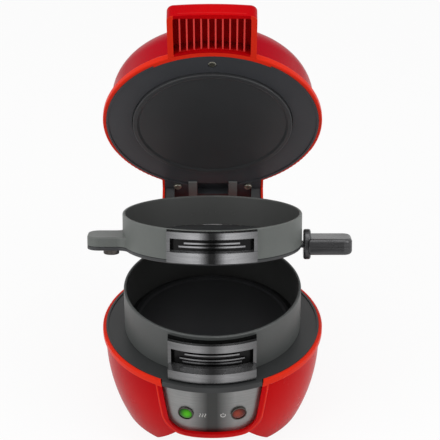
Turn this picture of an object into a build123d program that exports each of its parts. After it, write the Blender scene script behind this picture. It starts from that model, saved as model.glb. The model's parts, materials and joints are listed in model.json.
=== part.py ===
from build123d import *
from math import acos, asin, atan2, cos, degrees, radians, sin, sqrt, tan
import os

# Breakfast sandwich maker: a round base with a heated plate, two cooking rings with a swing-out
# plate between them, and a heated lid, all turning on one pin behind the base.
# Millimetres. The origin is on the counter, on the axis of the base. X is right, Y is back, Z is up.
# Every piece is drawn with the machine closed. The upper ring and the lid are then swung open.

# Driving dimensions ------------------------------------------------------------------------------

wall = 2.5              # moulded casings
running_gap = 0.3       # between pieces that move past each other
seat_gap = 0.1          # between pieces that rest on each other
side_gap = 1.0          # between the leaves on the hinge pin
bore_gap = 0.05         # radial play of a shaft in its hole

# rings and cooking plate
ring_radius = 62.0
ring_wall = 2.2
lower_ring_height = 31.0
upper_ring_height = 21.0
plate_thickness = 2.5
plate_inset = 0.5       # of the cooking plate's edge from the rings' outside
pivot_reach = 8.0       # of the plate's pivot beyond the rings
lug_reach = 16.0        # of the lug beyond the pivot
lug_front = 16.0
lug_back = 9.0
lug_corner = 8.0
lug_blend = 7.0
lug_height = 6.5
pivot_radius = 3.0
pivot_nut_height = 5.2

# base casing
deck_margin = 15.5      # from the rings to the rim of the base
rim_height = 63.0
lip_height = 5.0
lip_overhang = 2.2
lip_round = 1.1
foot_inset = 13.5       # of the foot from the rim
belly_inset = 5.5       # of the belly from the rim
belly_height = 24.0
column_drop = 1.0       # of the column's top below the rim
column_inset = 0.3      # of the column's sides from the hood's
column_lean = 5.0       # of the column's back
column_round = 5.0
floor_width = 12.0      # flange round the open bottom
floor_height = 5.5
cover_rebate = 7.0      # from the outline of the foot to the edge of the cover's rebate
cover_thickness = 1.7
vent_count = 7
vent_pitch = 9.0
vent_length = 34.0
vent_width = 3.0
arch_height = 15.2
arch_corner_height = 17.0
arch_corner_half_width = 24.5
arch_foot_half_width = 38.5
arch_depth = 24.0       # from the outline of the foot to the back of the arch

# front panel
panel_top_half_width = 34.8
panel_bottom_half_width = 28.6
panel_bottom = 19.8
panel_corner = 14.0
panel_recess = 1.0
panel_border = 4.5
border_proud = 1.9
border_round = 1.2
visor_inset = 0.9       # of the visor's ends from the top of the window
visor_height = 4.0
lens_spacing = 36.0
lens_drop = 25.5        # of the lamps below the rim
lens_radius = 4.7
lens_proud = 2.2        # of the lens's dome from the panel
dome_radius = 8.6
bezel_radius = 5.5
panel_lap = 1.2         # of the panel's flange behind the casing
visor_lap = 3.0         # of the visor into the deck

# heating decks and plates
deck_thickness = 2.4
deck_rebate = 2.4       # from the rim's outside to the deck's edge
bead_height = 0.6
bead_width = 1.4
bead_break_half_width = 39.5
hot_plate_inset = 3.4   # from the rings' inside to the heating plate
hot_plate_rise = 2.0
hot_plate_flange = 3.6
hot_plate_dish = 0.8
element_radius = 40.0
element_tube = 3.2
element_gap_angle = 40.0
reflector_depth = 10.0
sheet = 0.8             # pressed sheet parts
window_radius = 24.0    # round hole in the lower reflector
thermostat_screw_x = 10.8

# hinge
hinge_rise = 1.8        # of the pin above the underside of the cooking plate
pin_radius = 2.0
post_radius = 6.5
ear_radius = 7.0
arm_eye_radius = 5.5
leaf_upper_arm = 5.5    # thickness of each leaf on the pin
leaf_lower_arm = 6.0
leaf_post = 7.0
leaf_ear = 6.8
first_leaf = 7.0        # from the middle of the pin to the innermost leaf
upper_opening = 20.3    # degrees that the upper ring stands open
lid_opening = 66.9      # degrees that the lid stands open

# grips and handles
upper_flange_depth = 7.0    # of a grip's upper flange, from the ring
lower_flange_depth = 12.5
grip_half_width = 30.0
grip_body = 4.0
grip_cheek = 2.2
plate_grip_length = 28.4
plate_grip_half_width = 11.5
plate_grip_thickness = 11.4
guard_thickness = 5.0
guard_half_width = 9.0
guard_half_height = 10.6
handle_reach = 116.0
handle_half_width = 30.0
handle_height = 11.0
handle_wall = 4.0
handle_root = 2.0       # from the lid's rim to the recess under the handle
handle_bow = 1.8        # of the handle's front edge
rib_count = 10
rib_pitch = 4.8
rib_thickness = 1.1
rib_setback = 2.0       # of the ribs from the underside of the handle

# lid casing
lid_skirt_height = 4.5
lid_tab_half_width = 40.0
lid_tab_depth = 1.4     # of the skirt's front tab over the heating ring
lid_side_inset = 4.5    # of the lid's side from the rim
lid_shoulder = 22.0
lid_height = 45.0
lid_crown = 3.0         # rise of the crown above the shoulder
lid_draft = 1.2
hood_back = 8.0         # behind the hinge axis
hood_half_width = 37.2
cheek = 1.6

# fasteners
screw_radius = 1.5
screw_hole = 1.7        # radius of the hole that a screw passes through
screw_head_radius = 2.8
screw_head_height = 1.6
rivet_radius = 1.5
rivet_head_radius = 2.6
rivet_head_height = 1.2

# Places that follow from them --------------------------------------------------------------------

rim_radius = ring_radius + deck_margin
foot_radius = rim_radius - foot_inset
belly_radius = rim_radius - belly_inset
ring_bore = ring_radius - ring_wall
plate_radius = ring_radius - plate_inset
hot_plate_radius = ring_bore - hot_plate_inset
lid_side_radius = rim_radius - lid_side_inset
pivot_offset = ring_radius + pivot_reach
upper_flange_reach = ring_radius + upper_flange_depth
lower_flange_reach = ring_radius + lower_flange_depth
body_radius = rim_radius - lip_overhang
lip_bottom = rim_height - lip_height
deck_radius = rim_radius - deck_rebate
deck_bottom = rim_height - deck_thickness
deck_bore = hot_plate_radius + 0.5
hot_plate_top = rim_height + hot_plate_rise
flange_radius = hot_plate_radius + hot_plate_flange
flange_thickness = 2.9
hot_plate_bottom = deck_bottom - seat_gap - flange_thickness

lower_ring_bottom = rim_height + running_gap
lower_ring_top = lower_ring_bottom + lower_ring_height
plate_bottom = lower_ring_top + running_gap
plate_top = plate_bottom + plate_thickness
upper_ring_bottom = plate_top + running_gap
upper_ring_top = upper_ring_bottom + upper_ring_height
lid_bottom = upper_ring_top + running_gap
lens_height = rim_height - lens_drop

hinge_y = rim_radius + post_radius + side_gap
hinge_z = plate_bottom + hinge_rise
upper_arm_x = first_leaf
lower_arm_x = upper_arm_x + leaf_upper_arm + side_gap
post_x = lower_arm_x + leaf_lower_arm + side_gap
ear_x = post_x + leaf_post + side_gap
pin_half_length = hood_half_width - cheek - 2 * running_gap
column_back = hinge_y + hood_back
column_foot_back = column_back - column_lean
column_top = rim_height - column_drop
column_half_width = hood_half_width - column_inset

hinge = Pos(0, hinge_y, hinge_z)
upper_open = hinge * Rot(X=-upper_opening) * hinge.inverse()
lid_open = hinge * Rot(X=-lid_opening) * hinge.inverse()

os.makedirs("parts", exist_ok=True)


# Shared shapes -----------------------------------------------------------------------------------

def body_profile(inset, top):
    """half section of the base inside its outline, from the counter to a height"""
    with BuildLine() as section:
        side = ThreePointArc(
            (foot_radius - inset, 0),
            (belly_radius - inset, belly_height),
            (body_radius - inset, lip_bottom),
        )
        Polyline(side @ 1, (body_radius - inset, top), (0, top), (0, 0), side @ 0)
    make_face(section.edges())


def facing(radius, angle, z, rise=0.0):
    """plane on a round wall about the axis, facing out, its normal climbing by a slope"""
    x, y = cos(radians(angle)), sin(radians(angle))
    return Plane(origin=(radius * x, radius * y, z), z_dir=(x, y, rise))


def footprint(inset):
    """outline of the foot, drawn in by an inset: the round body and the column behind it"""
    Circle(foot_radius - inset)
    length = column_foot_back - inset
    with Locations((0, length / 2)):
        Rectangle(2 * (column_half_width - inset), length)


def panel_outline(grow, top):
    """front window of the base, seen from the front, with rounded lower corners"""
    slope = (panel_top_half_width - panel_bottom_half_width) / (rim_height - panel_bottom)
    low = panel_bottom - grow
    low_x = panel_bottom_half_width + grow - slope * grow
    high_x = low_x + slope * (top - low)
    corner = panel_corner + grow
    with BuildLine() as outline:
        FilletPolyline(
            (-high_x, top), (-low_x, low), (low_x, low), (high_x, top), radius=corner
        )
        Line(outline.line @ 0, outline.line @ 1)
    make_face(outline.edges())


def arch_outline(grow):
    """arch between the front feet, seen from the front"""
    with BuildLine() as outline:
        top = ThreePointArc(
            (-arch_corner_half_width - grow, arch_corner_height + grow),
            (0, arch_height + grow),
            (arch_corner_half_width + grow, arch_corner_height + grow),
        )
        foot = arch_foot_half_width + grow
        Polyline(top @ 1, (foot, 0), (foot, -1), (-foot, -1), (-foot, 0), top @ 0)
    make_face(outline.edges())


def arch_block(grow):
    """the arch as a solid, from its back wall out through the front"""
    with BuildPart() as block:
        with BuildSketch(Plane.XZ.offset(foot_radius - arch_depth - grow)):
            arch_outline(grow)
        extrude(amount=rim_radius)
    return block.part


def front_band(inner_inset, outer_inset, grow, top):
    """a slice of the base's wall between two insets, cut to the front window"""
    with BuildPart() as band:
        with BuildSketch(Plane.XZ):
            body_profile(outer_inset, top)
        revolve(axis=Axis.Z)
        with BuildSketch(Plane.XZ):
            body_profile(inner_inset, top)
        revolve(axis=Axis.Z, mode=Mode.SUBTRACT)
        with BuildSketch(Plane.XZ):
            panel_outline(grow, top)
        extrude(amount=rim_radius, mode=Mode.INTERSECT)
    return band.part


def lid_profile(inset, bottom):
    """half section of the lid inside its outline, from a height up"""
    bend_x = lid_side_radius - lid_draft - lid_shoulder
    bend_z = lid_bottom + lid_height - lid_shoulder - lid_crown
    half_turn = atan2(lid_crown, bend_x)
    crown_radius = lid_shoulder - inset + bend_x / sin(2 * half_turn)
    turn = 90 - degrees(2 * half_turn)
    with BuildLine() as section:
        bend = CenterArc((bend_x, bend_z), lid_shoulder - inset, 0, turn)
        crown = CenterArc((0, bend_z - bend_x / tan(2 * half_turn)), crown_radius, turn, 90 - turn)
        Polyline(crown @ 1, (0, bottom), (lid_side_radius - inset, bottom), bend @ 0)
    make_face(section.edges())


def lobed_disc(radius):
    """outline of a disc with the lug of the plate's pivot blended into its edge"""
    with BuildSketch() as disc:
        with Locations((-pivot_offset - lug_reach, -lug_front)):
            Rectangle(pivot_offset + lug_reach, lug_front + lug_back, align=(Align.MIN, Align.MIN))
        fillet(disc.vertices().group_by(Axis.X)[0], lug_corner)
        Circle(radius)
        meets = [corner for corner in disc.vertices()
                 if corner.X < 0 and abs(corner.center().length - radius) < 0.001]
        fillet(meets, lug_blend)
    return disc.sketch


def sector(outline, half_width, inner=0.0):
    """part of a turned section of (radius, height) points, at the front between two widths"""
    low = min(z for r, z in outline)
    with BuildPart() as piece:
        with BuildSketch(Plane.XZ) as section:
            Polygon(*outline, align=None)
        revolve(section.sketch, axis=Axis.Z)
        with BuildSketch(Plane.XY.offset(low)) as keep:
            with GridLocations(inner + half_width, 0, 2, 1):
                with Locations((0, -ring_radius)):
                    Rectangle(half_width - inner, ring_radius)
        extrude(keep.sketch, amount=max(z for r, z in outline) - low, mode=Mode.INTERSECT)
    return piece.part


def leaf(first, thickness, radius, *outline):
    """a leaf on the hinge pin: a round eye joined to an outline of (y, z) points"""
    with BuildSketch(Plane.YZ.offset(first)) as side:
        Polygon(*outline, align=None)
        with Locations((hinge_y, hinge_z)):
            Circle(radius)
    extrude(side.sketch, amount=thickness)


def pin_hole(first, thickness):
    """running hole for the hinge pin through a leaf"""
    with Locations(Plane.YZ.offset(first + thickness) * Pos(hinge_y, hinge_z)):
        Hole(pin_radius + bore_gap, depth=thickness)


def screw(plane, length):
    """pan-head screw: its head stands on the plane, its shank runs the other way"""
    with BuildPart(plane) as fastener:
        Cylinder(screw_head_radius, screw_head_height, align=(Align.CENTER, Align.CENTER, Align.MIN))
        top = fastener.edges().sort_by(Axis(plane.origin, plane.z_dir))[-1]
        fillet(top, 0.6)
        with Locations((0, 0, screw_head_height)):
            Box(0.6, 3.2, 0.8, align=(Align.CENTER, Align.CENTER, Align.MAX), mode=Mode.SUBTRACT)
            Box(3.2, 0.6, 0.8, align=(Align.CENTER, Align.CENTER, Align.MAX), mode=Mode.SUBTRACT)
        Cylinder(screw_radius, length, align=(Align.CENTER, Align.CENTER, Align.MAX))
    return fastener.part


def rivet(plane, length):
    """domed rivet: its head stands on the plane, its shank runs the other way"""
    with BuildPart(plane) as fastener:
        Cylinder(rivet_head_radius, rivet_head_height, align=(Align.CENTER, Align.CENTER, Align.MIN))
        top = fastener.edges().sort_by(Axis(plane.origin, plane.z_dir))[-1]
        fillet(top, 0.9)
        Cylinder(rivet_radius, length, align=(Align.CENTER, Align.CENTER, Align.MAX))
    return fastener.part


def at_height(places, z):
    """the same places at one height"""
    return [(x, y, z) for x, y in places]


def four_corners(x, y):
    """four places mirrored about both middle planes"""
    return [(x, y), (-x, y), (-x, -y), (x, -y)]


# Base casing -------------------------------------------------------------------------------------

column_bend = 40.0          # height where the back of the column turns upright
deck_screw_inset = 9.1      # from the deck's edge
deck_screw_angle = 20.0
deck_screw_ring = deck_radius - deck_screw_inset
deck_screw_x = deck_screw_ring * cos(radians(deck_screw_angle))
deck_screw_y = deck_screw_ring * sin(radians(deck_screw_angle))
deck_screws = four_corners(deck_screw_x, deck_screw_y)
lug_thickness = 3.0
lug_width = 10.4
deck_boss_radius = 3.2
lug_top = hot_plate_bottom - 0.4
cover_screw_ring = foot_radius - cover_rebate - screw_head_radius - running_gap
cover_screw_angle = 22.0    # clear of the arch
cover_screws = four_corners(
    cover_screw_ring * cos(radians(cover_screw_angle)),
    cover_screw_ring * sin(radians(cover_screw_angle)),
)
cover_boss_radius = 4.0
cover_boss_height = 8.0
cover_screw_end = floor_height + cover_boss_height - 1
cover_bottom = 2.2
post_foot_end = hood_half_width - cheek
post_screw_x = (post_x + leaf_post + post_foot_end) / 2
post_screw_pitch = 7.0
post_screws = [(side * post_screw_x, hinge_y + end * post_screw_pitch / 2)
               for side in (-1, 1) for end in (-1, 1)]
post_boss_radius = 3.0
post_screw_length = 9.0
gland_height = 16.0
gland_neck = 4.9
gland_bore = 3.2
gland_flange = 8.0
gland_flange_height = 2.2
gland_neck_length = 7.0
column_slope = (column_back - column_foot_back) / column_bend
gland_plane = Plane(
    origin=(0, column_foot_back + column_slope * gland_height, gland_height),
    x_dir=(1, 0, 0),
    z_dir=(0, 1, -column_slope),
)
window_depth = 4.5          # from the outline of the foot to the back of the front window
visor_bottom = rim_height - visor_height
panel_top = visor_bottom - running_gap
pad_inset = cover_rebate / 2
pad_length = 14.0
rear_pad_length = 12.0
pad_width = 4.4
pad_depth = 1.5
pad_places = [(side * (foot_radius - pad_inset) * cos(radians(angle)),
               (foot_radius - pad_inset) * sin(radians(angle)), angle * side)
              for side in (-1, 1) for angle in (20, -30)]
rear_pad_y = column_foot_back - pad_inset
rear_pad_x = column_half_width - 2 * pad_inset

with BuildPart() as border_band:
    add(front_band(1, -border_proud, panel_border, rim_height))
    fillet(border_band.faces().sort_by(Axis.Y)[0].edges().group_by(Axis.Z)[:-1], border_round)
arch = arch_block(0)
arch_wall = arch_block(wall)

with BuildPart() as cavity:
    with BuildSketch(Plane.XZ):
        body_profile(wall, rim_height + 1)
    revolve(axis=Axis.Z)
    with BuildSketch(Plane.XY.offset(deck_bottom - seat_gap)):
        Circle(deck_radius + seat_gap)
    extrude(amount=rim_height)
    with BuildSketch(Plane.YZ):
        with BuildLine():
            Polyline(
                (foot_radius / 2, 0),
                (column_foot_back - wall, 0),
                (column_back - wall, column_bend),
                (column_back - wall, column_top - wall),
                (foot_radius / 2, column_top - wall),
                close=True,
            )
        make_face()
    extrude(amount=column_half_width - wall, both=True)
    with BuildSketch(Plane.XY):
        Rectangle(4 * rim_radius, 4 * rim_radius)
    extrude(amount=floor_height, mode=Mode.SUBTRACT)
    add(arch_wall, mode=Mode.SUBTRACT)
    with BuildSketch(Plane.XY.offset(lug_top - lug_thickness)):
        with Locations(*deck_screws):
            Circle(lug_width / 2)
        with GridLocations(deck_screw_x + rim_radius, 2 * deck_screw_y, 2, 2):
            Rectangle(rim_radius - deck_screw_x, lug_width)
    extrude(amount=lug_thickness, mode=Mode.SUBTRACT)
    with BuildSketch(Plane.XY.offset(floor_height)):
        with Locations(*cover_screws):
            Circle(cover_boss_radius)
    extrude(amount=cover_boss_height, mode=Mode.SUBTRACT)
    with BuildSketch(Plane.XY.offset(column_top - wall)):
        with Locations(*post_screws):
            Circle(post_boss_radius)
    extrude(amount=-post_screw_length, mode=Mode.SUBTRACT)

with BuildPart() as base_opening:
    with BuildSketch(Plane.XY):
        footprint(floor_width)
    extrude(amount=floor_height)
    with BuildSketch(Plane.XY):
        footprint(cover_rebate)
    extrude(amount=cover_bottom + cover_thickness + seat_gap)
    add(arch_wall, mode=Mode.SUBTRACT)

with BuildPart() as base_shell:
    with BuildSketch(Plane.XZ) as outside:
        body_profile(0, rim_height)
        with Locations((rim_radius / 2, rim_height - lip_height / 2)):
            Rectangle(rim_radius, lip_height)
        fillet(outside.vertices().group_by(Axis.X)[-1], lip_round)
    revolve(axis=Axis.Z)
    with BuildSketch(Plane.YZ):
        with BuildLine():
            Polyline(
                (0, 0),
                (column_foot_back, 0),
                (column_back, column_bend),
                (column_back, column_top),
                (0, column_top),
                close=True,
            )
        make_face()
    extrude(amount=column_half_width, both=True)
    back_corners = [edge for edge in base_shell.edges()
                    if edge.center().Y > column_foot_back + 1
                    and abs(edge.center().X) > column_half_width - 1]
    fillet(back_corners, column_round)
    add(border_band.part)
    add(cavity.part, mode=Mode.SUBTRACT)
    add(base_opening.part, mode=Mode.SUBTRACT)
    add(arch, mode=Mode.SUBTRACT)
    with BuildSketch(Plane.XZ.offset(foot_radius - window_depth)):
        panel_outline(0, rim_height + 1)
    extrude(amount=rim_radius, mode=Mode.SUBTRACT)
    with Locations(*at_height(deck_screws, lug_top)):
        Hole(screw_hole, depth=lug_thickness)
    with Locations(*at_height(cover_screws, cover_screw_end)):
        Hole(screw_radius + bore_gap, depth=cover_screw_end)
    with Locations(*at_height(post_screws, column_top)):
        Hole(screw_radius + bore_gap, depth=post_screw_length)
    with Locations(gland_plane.offset(1)):
        Hole(gland_neck + seat_gap, depth=2 * wall)
    with BuildSketch(Plane.XY):
        for x, y, angle in pad_places:
            with Locations(Location((x, y, 0), (0, 0, angle + 90))):
                SlotOverall(pad_length + 2 * seat_gap, pad_width + 2 * seat_gap)
        with GridLocations(2 * rear_pad_x, 0, 2, 1):
            with Locations((0, rear_pad_y)):
                SlotOverall(rear_pad_length + 2 * seat_gap, pad_width + 2 * seat_gap)
    extrude(amount=pad_depth, mode=Mode.SUBTRACT)
base_shell.part.label = "base_shell"
export_step(base_shell.part, "parts/base_shell.step")

with BuildPart() as bottom_cover:
    with BuildSketch(Plane.XY.offset(cover_bottom)):
        footprint(cover_rebate + running_gap)
        with GridLocations(vent_pitch, 0, vent_count, 1):
            SlotOverall(vent_length, vent_width, rotation=90, mode=Mode.SUBTRACT)
        with Locations(*cover_screws):
            Circle(screw_hole, mode=Mode.SUBTRACT)
    extrude(amount=cover_thickness)
    add(arch_block(wall + running_gap), mode=Mode.SUBTRACT)
bottom_cover.part.label = "bottom_cover"
export_step(bottom_cover.part, "parts/bottom_cover.step")

fasteners = [
    screw(Plane((x, y, cover_bottom), z_dir=(0, 0, -1)), cover_screw_end - cover_bottom - 1)
    for x, y in cover_screws
]
with BuildPart() as cover_screw_set:
    add(fasteners)
cover_screw_set.part.label = "bottom_cover_screws"
export_step(cover_screw_set.part, "parts/bottom_cover_screws.step")

with BuildPart() as rubber_feet:
    with BuildSketch(Plane.XY):
        for x, y, angle in pad_places:
            with Locations(Location((x, y, 0), (0, 0, angle + 90))):
                SlotOverall(pad_length, pad_width)
        with Locations((rear_pad_x, rear_pad_y), (-rear_pad_x, rear_pad_y)):
            SlotOverall(rear_pad_length, pad_width)
    extrude(amount=pad_depth - seat_gap)
rubber_feet.part.label = "rubber_feet"
export_step(rubber_feet.part, "parts/rubber_feet.step")


# Front panel and lamps ---------------------------------------------------------------------------

body_side = ThreePointArc((foot_radius, 0), (belly_radius, belly_height), (body_radius, lip_bottom))
side_drop = lens_height - body_side.arc_center.Y
side_reach = sqrt(body_side.radius**2 - side_drop**2)
panel_face = body_side.arc_center.X + side_reach - panel_recess
lens_angle = degrees(asin(lens_spacing / 2 / panel_face))
lens_planes = {
    "preheat": facing(panel_face, -90 - lens_angle, lens_height, side_drop / side_reach),
    "power": facing(panel_face, -90 + lens_angle, lens_height, side_drop / side_reach),
}
bezel_neck = bezel_radius - 0.4
lens_length = 7.0
lamp_radius = 2.4

panel_front = front_band(wall + 1, panel_recess, -seat_gap, panel_top)
panel_flange = front_band(wall + 1.6, wall + seat_gap, panel_lap, panel_top)

with BuildPart() as front_panel:
    add(panel_front)
    add(panel_flange)
    with Locations(*[plane.offset(2) for plane in lens_planes.values()]):
        Hole(bezel_neck + seat_gap, depth=10)
front_panel.part.label = "front_panel"
export_step(front_panel.part, "parts/front_panel.step")

with BuildPart() as lens_bezels:
    with BuildSketch(*[plane.offset(0.2) for plane in lens_planes.values()]):
        Circle(bezel_radius)
    extrude(amount=1.0)
    fillet(lens_bezels.edges().filter_by(GeomType.CIRCLE).group_by(Axis.Y)[0], 0.5)
    with BuildSketch(*[plane.offset(0.2) for plane in lens_planes.values()]):
        Circle(bezel_neck)
    extrude(amount=-4.5)
    with Locations(*[plane.offset(2) for plane in lens_planes.values()]):
        Hole(lens_radius + bore_gap, depth=10)
lens_bezels.part.label = "lens_bezels"
export_step(lens_bezels.part, "parts/lens_bezels.step")

for name, plane in lens_planes.items():
    with BuildPart() as lens:
        with BuildSketch(plane.offset(-lens_length)):
            Circle(lens_radius)
        extrude(amount=lens_length + lens_proud)
        with Locations(plane.offset(lens_proud - dome_radius)):
            Sphere(dome_radius, mode=Mode.INTERSECT)
        with BuildSketch(plane.offset(-lens_length)):
            Circle(lamp_radius + bore_gap)
        extrude(amount=lens_length - 1, mode=Mode.SUBTRACT)
    lens.part.label = f"{name}_lens"
    export_step(lens.part, f"parts/{name}_lens.step")

with BuildPart() as indicator_lamps:
    with BuildSketch(*[plane.offset(-lens_length - 4) for plane in lens_planes.values()]):
        Circle(lamp_radius)
    extrude(amount=lens_length + 1)
indicator_lamps.part.label = "indicator_lamps"
export_step(indicator_lamps.part, "parts/indicator_lamps.step")


# Heating decks, plates and elements --------------------------------------------------------------

plate_screw_offset = (flange_radius + deck_boss_radius + 0.8) * sin(radians(45))
plate_screws = four_corners(plate_screw_offset, plate_screw_offset)
reflector_top = hot_plate_bottom - seat_gap
element_z = hot_plate_bottom - seat_gap - element_tube
element_bend = 6.0
half_gap = radians(element_gap_angle / 2)
leg_x = element_radius * sin(half_gap) - element_bend * cos(half_gap)
leg_y = element_radius * cos(half_gap) + element_bend * sin(half_gap)
leg_length = 9.0
middle = Plane.XY.offset((rim_height + lid_bottom) / 2)

with BuildPart() as deck_blank:
    with BuildSketch(Plane.XY.offset(deck_bottom)):
        Circle(deck_radius)
        Circle(deck_bore, mode=Mode.SUBTRACT)
    extrude(amount=deck_thickness)
    with BuildSketch(Plane.XY.offset(rim_height)):
        Circle(deck_radius)
        Circle(deck_radius - bead_width, mode=Mode.SUBTRACT)
        with Locations((0, -deck_radius)):
            Rectangle(2 * bead_break_half_width, deck_radius, mode=Mode.SUBTRACT)
    extrude(amount=bead_height)
    with BuildSketch(Plane.XY.offset(hot_plate_bottom)):
        with Locations(*plate_screws):
            Circle(deck_boss_radius)
    extrude(until=Until.NEXT)
    with Locations(*[Location((x, y, hot_plate_bottom), (180, 0, 0)) for x, y in plate_screws]):
        Hole(screw_radius + bore_gap, depth=4)

with BuildPart() as lower_heat_ring:
    add(deck_blank.part)
    with BuildSketch(Plane.XY.offset(visor_bottom)):
        Circle(rim_radius)
        Circle(deck_radius - visor_lap, mode=Mode.SUBTRACT)
        with Locations((0, -rim_radius)):
            Rectangle(2 * (panel_top_half_width - visor_inset), rim_radius, mode=Mode.INTERSECT)
    extrude(amount=visor_height)
    with BuildSketch(Plane.XY.offset(lug_top + seat_gap)):
        with Locations(*deck_screws):
            Circle(deck_boss_radius)
    extrude(until=Until.NEXT)
    with Locations(*[Location((x, y, lug_top), (180, 0, 0)) for x, y in deck_screws]):
        Hole(screw_radius + bore_gap, depth=4.5)
lower_heat_ring.part.label = "lower_heat_ring"
export_step(lower_heat_ring.part, "parts/lower_heat_ring.step")

with BuildPart() as lower_heating_plate:
    with BuildSketch(Plane.XZ) as section:
        with BuildLine():
            Polyline(
                (0, hot_plate_bottom),
                (flange_radius, hot_plate_bottom),
                (flange_radius, hot_plate_bottom + flange_thickness),
                (hot_plate_radius, hot_plate_bottom + flange_thickness),
                (hot_plate_radius, hot_plate_top),
                (hot_plate_radius - 3, hot_plate_top),
                (hot_plate_radius - 3 - 2 * hot_plate_dish, hot_plate_top - hot_plate_dish),
                (0, hot_plate_top - hot_plate_dish),
                close=True,
            )
        make_face()
    revolve(axis=Axis.Z)
    fillet(lower_heating_plate.edges().group_by(Axis.Z)[-1].sort_by(SortBy.LENGTH)[-1], 0.6)
    with Locations(*[Location((side * thermostat_screw_x, 0, hot_plate_bottom), (180, 0, 0))
                     for side in (-1, 1)]):
        Hole(1 + bore_gap, depth=3)
lower_heating_plate.part.label = "lower_heating_plate"
export_step(lower_heating_plate.part, "parts/lower_heating_plate.step")

with BuildPart() as lower_heating_element:
    with BuildLine() as route:
        ring = CenterArc((0, 0, element_z), element_radius,
                         90 + element_gap_angle / 2, 360 - element_gap_angle)
        drop = element_z - element_bend
        right_leg = (leg_x, leg_y, drop)
        left_leg = (-leg_x, leg_y, drop)
        TangentArc(ring @ 1, right_leg, tangent=ring % 1)
        TangentArc(ring @ 0, left_leg, tangent=-(ring % 0))
        Line(right_leg, (leg_x, leg_y, drop - leg_length))
        Line(left_leg, (-leg_x, leg_y, drop - leg_length))
    path = route.wire()
    with BuildSketch(Plane(origin=path @ 0, z_dir=path % 0)):
        Circle(element_tube)
    sweep(path=path)
    with Locations((leg_x, leg_y, drop - leg_length), (-leg_x, leg_y, drop - leg_length)):
        Cylinder(1.6, 5, align=(Align.CENTER, Align.CENTER, Align.MAX))
lower_heating_element.part.label = "lower_heating_element"
export_step(lower_heating_element.part, "parts/lower_heating_element.step")

for name, window in {"lower": window_radius, "upper": 0}.items():
    with BuildPart() as reflector:
        with BuildSketch(Plane.XY.offset(reflector_top - sheet)):
            Circle(flange_radius)
            with Locations(*plate_screws):
                Circle(deck_boss_radius + 1.4)
            for x, y in plate_screws:
                with Locations(Location((x / 2, y / 2, 0), (0, 0, degrees(atan2(y, x))))):
                    Rectangle(flange_radius, 6)
        extrude(amount=sheet)
        with BuildSketch(Plane.XY.offset(reflector_top - reflector_depth)):
            Circle(flange_radius - 9)
        with BuildSketch(Plane.XY.offset(reflector_top)):
            Circle(flange_radius - 5)
        loft()
        with BuildSketch(Plane.XY.offset(reflector_top - reflector_depth + sheet)):
            Circle(flange_radius - 9 - sheet)
        with BuildSketch(Plane.XY.offset(reflector_top + sheet)):
            Circle(flange_radius - 5 - sheet)
        loft(mode=Mode.SUBTRACT)
        with BuildSketch(Plane.XY.offset(reflector_top - reflector_depth)):
            with Locations((leg_x, leg_y), (-leg_x, leg_y)):
                Circle(element_tube + 1.2)
            if window:
                Circle(window)
        extrude(amount=sheet, mode=Mode.SUBTRACT)
        with Locations(*at_height(plate_screws, reflector_top)):
            Hole(screw_hole, depth=sheet)
    if name == "upper":
        reflector.part = reflector.part.mirror(middle).moved(lid_open)
    reflector.part.label = f"{name}_reflector"
    export_step(reflector.part, f"parts/{name}_reflector.step")


# Controls and wiring inside the base -------------------------------------------------------------

thermostat_radius = 8.5
thermostat_height = 6.0
fuse_radius = 2.0
fuse_length = 16.0
fuse_y = -14.0
block_length = 30.0
block_width = 12.0
block_height = 12.0
block_y = 36.0
pole_pitch = 9.0
lead_radius = 0.9
lead_end = 0.3
block_top = cover_bottom + cover_thickness + seat_gap + block_height

with BuildPart() as thermostat:
    with BuildSketch(Plane.XY.offset(reflector_top)):
        SlotCenterToCenter(2 * thermostat_screw_x, 6)
        Circle(thermostat_radius)
    extrude(amount=-sheet)
    with BuildSketch(Plane.XY.offset(reflector_top - sheet)):
        Circle(thermostat_radius)
    extrude(amount=sheet - thermostat_height)
    fillet(thermostat.edges().group_by(Axis.Z)[0], 0.8)
    with BuildSketch(Plane.XY.offset(reflector_top - thermostat_height)):
        with Locations((0, 5), (0, -5)):
            Rectangle(4.8, sheet)
    extrude(amount=-7)
    with Locations((thermostat_screw_x, 0, reflector_top), (-thermostat_screw_x, 0, reflector_top)):
        Hole(1.2, depth=sheet)
thermostat.part.label = "thermostat"
export_step(thermostat.part, "parts/thermostat.step")

with BuildPart() as thermostat_screws:
    with Locations(*[(x, 0, reflector_top - sheet) for x in (-thermostat_screw_x, thermostat_screw_x)]):
        Cylinder(1.9, 1.2, align=(Align.CENTER, Align.CENTER, Align.MAX))
        Cylinder(1.0, sheet + 2.5, align=(Align.CENTER, Align.CENTER, Align.MIN))
thermostat_screws.part.label = "thermostat_screws"
export_step(thermostat_screws.part, "parts/thermostat_screws.step")

with BuildPart() as thermal_fuse:
    with BuildSketch(Plane.YZ.offset(-fuse_length / 2)):
        with Locations((fuse_y, reflector_top - fuse_radius)):
            Circle(fuse_radius)
    extrude(amount=fuse_length)
    chamfer(thermal_fuse.edges(), 0.6)
    with BuildSketch(Plane.YZ.offset(-fuse_length / 2 - 3)):
        with Locations((fuse_y, reflector_top - fuse_radius)):
            Circle(0.5)
    extrude(amount=fuse_length + 6)
thermal_fuse.part.label = "thermal_fuse"
export_step(thermal_fuse.part, "parts/thermal_fuse.step")

with BuildPart() as terminal_block:
    with Locations((0, block_y, block_top)):
        Box(block_length, block_width, block_height, align=(Align.CENTER, Align.CENTER, Align.MAX))
    fillet(terminal_block.edges().filter_by(Axis.Z), 1.5)
    with Locations(*[(x, block_y, block_top) for x in (-pole_pitch, 0, pole_pitch)]):
        Hole(2.2, depth=3)
    with Locations(*[Plane.XZ.offset(-block_y + block_width / 2) * Pos(x, block_top - 7)
                     for x in (-pole_pitch, 0, pole_pitch)]):
        Hole(1.4, depth=block_width)
terminal_block.part.label = "terminal_block"
export_step(terminal_block.part, "parts/terminal_block.step")

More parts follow.
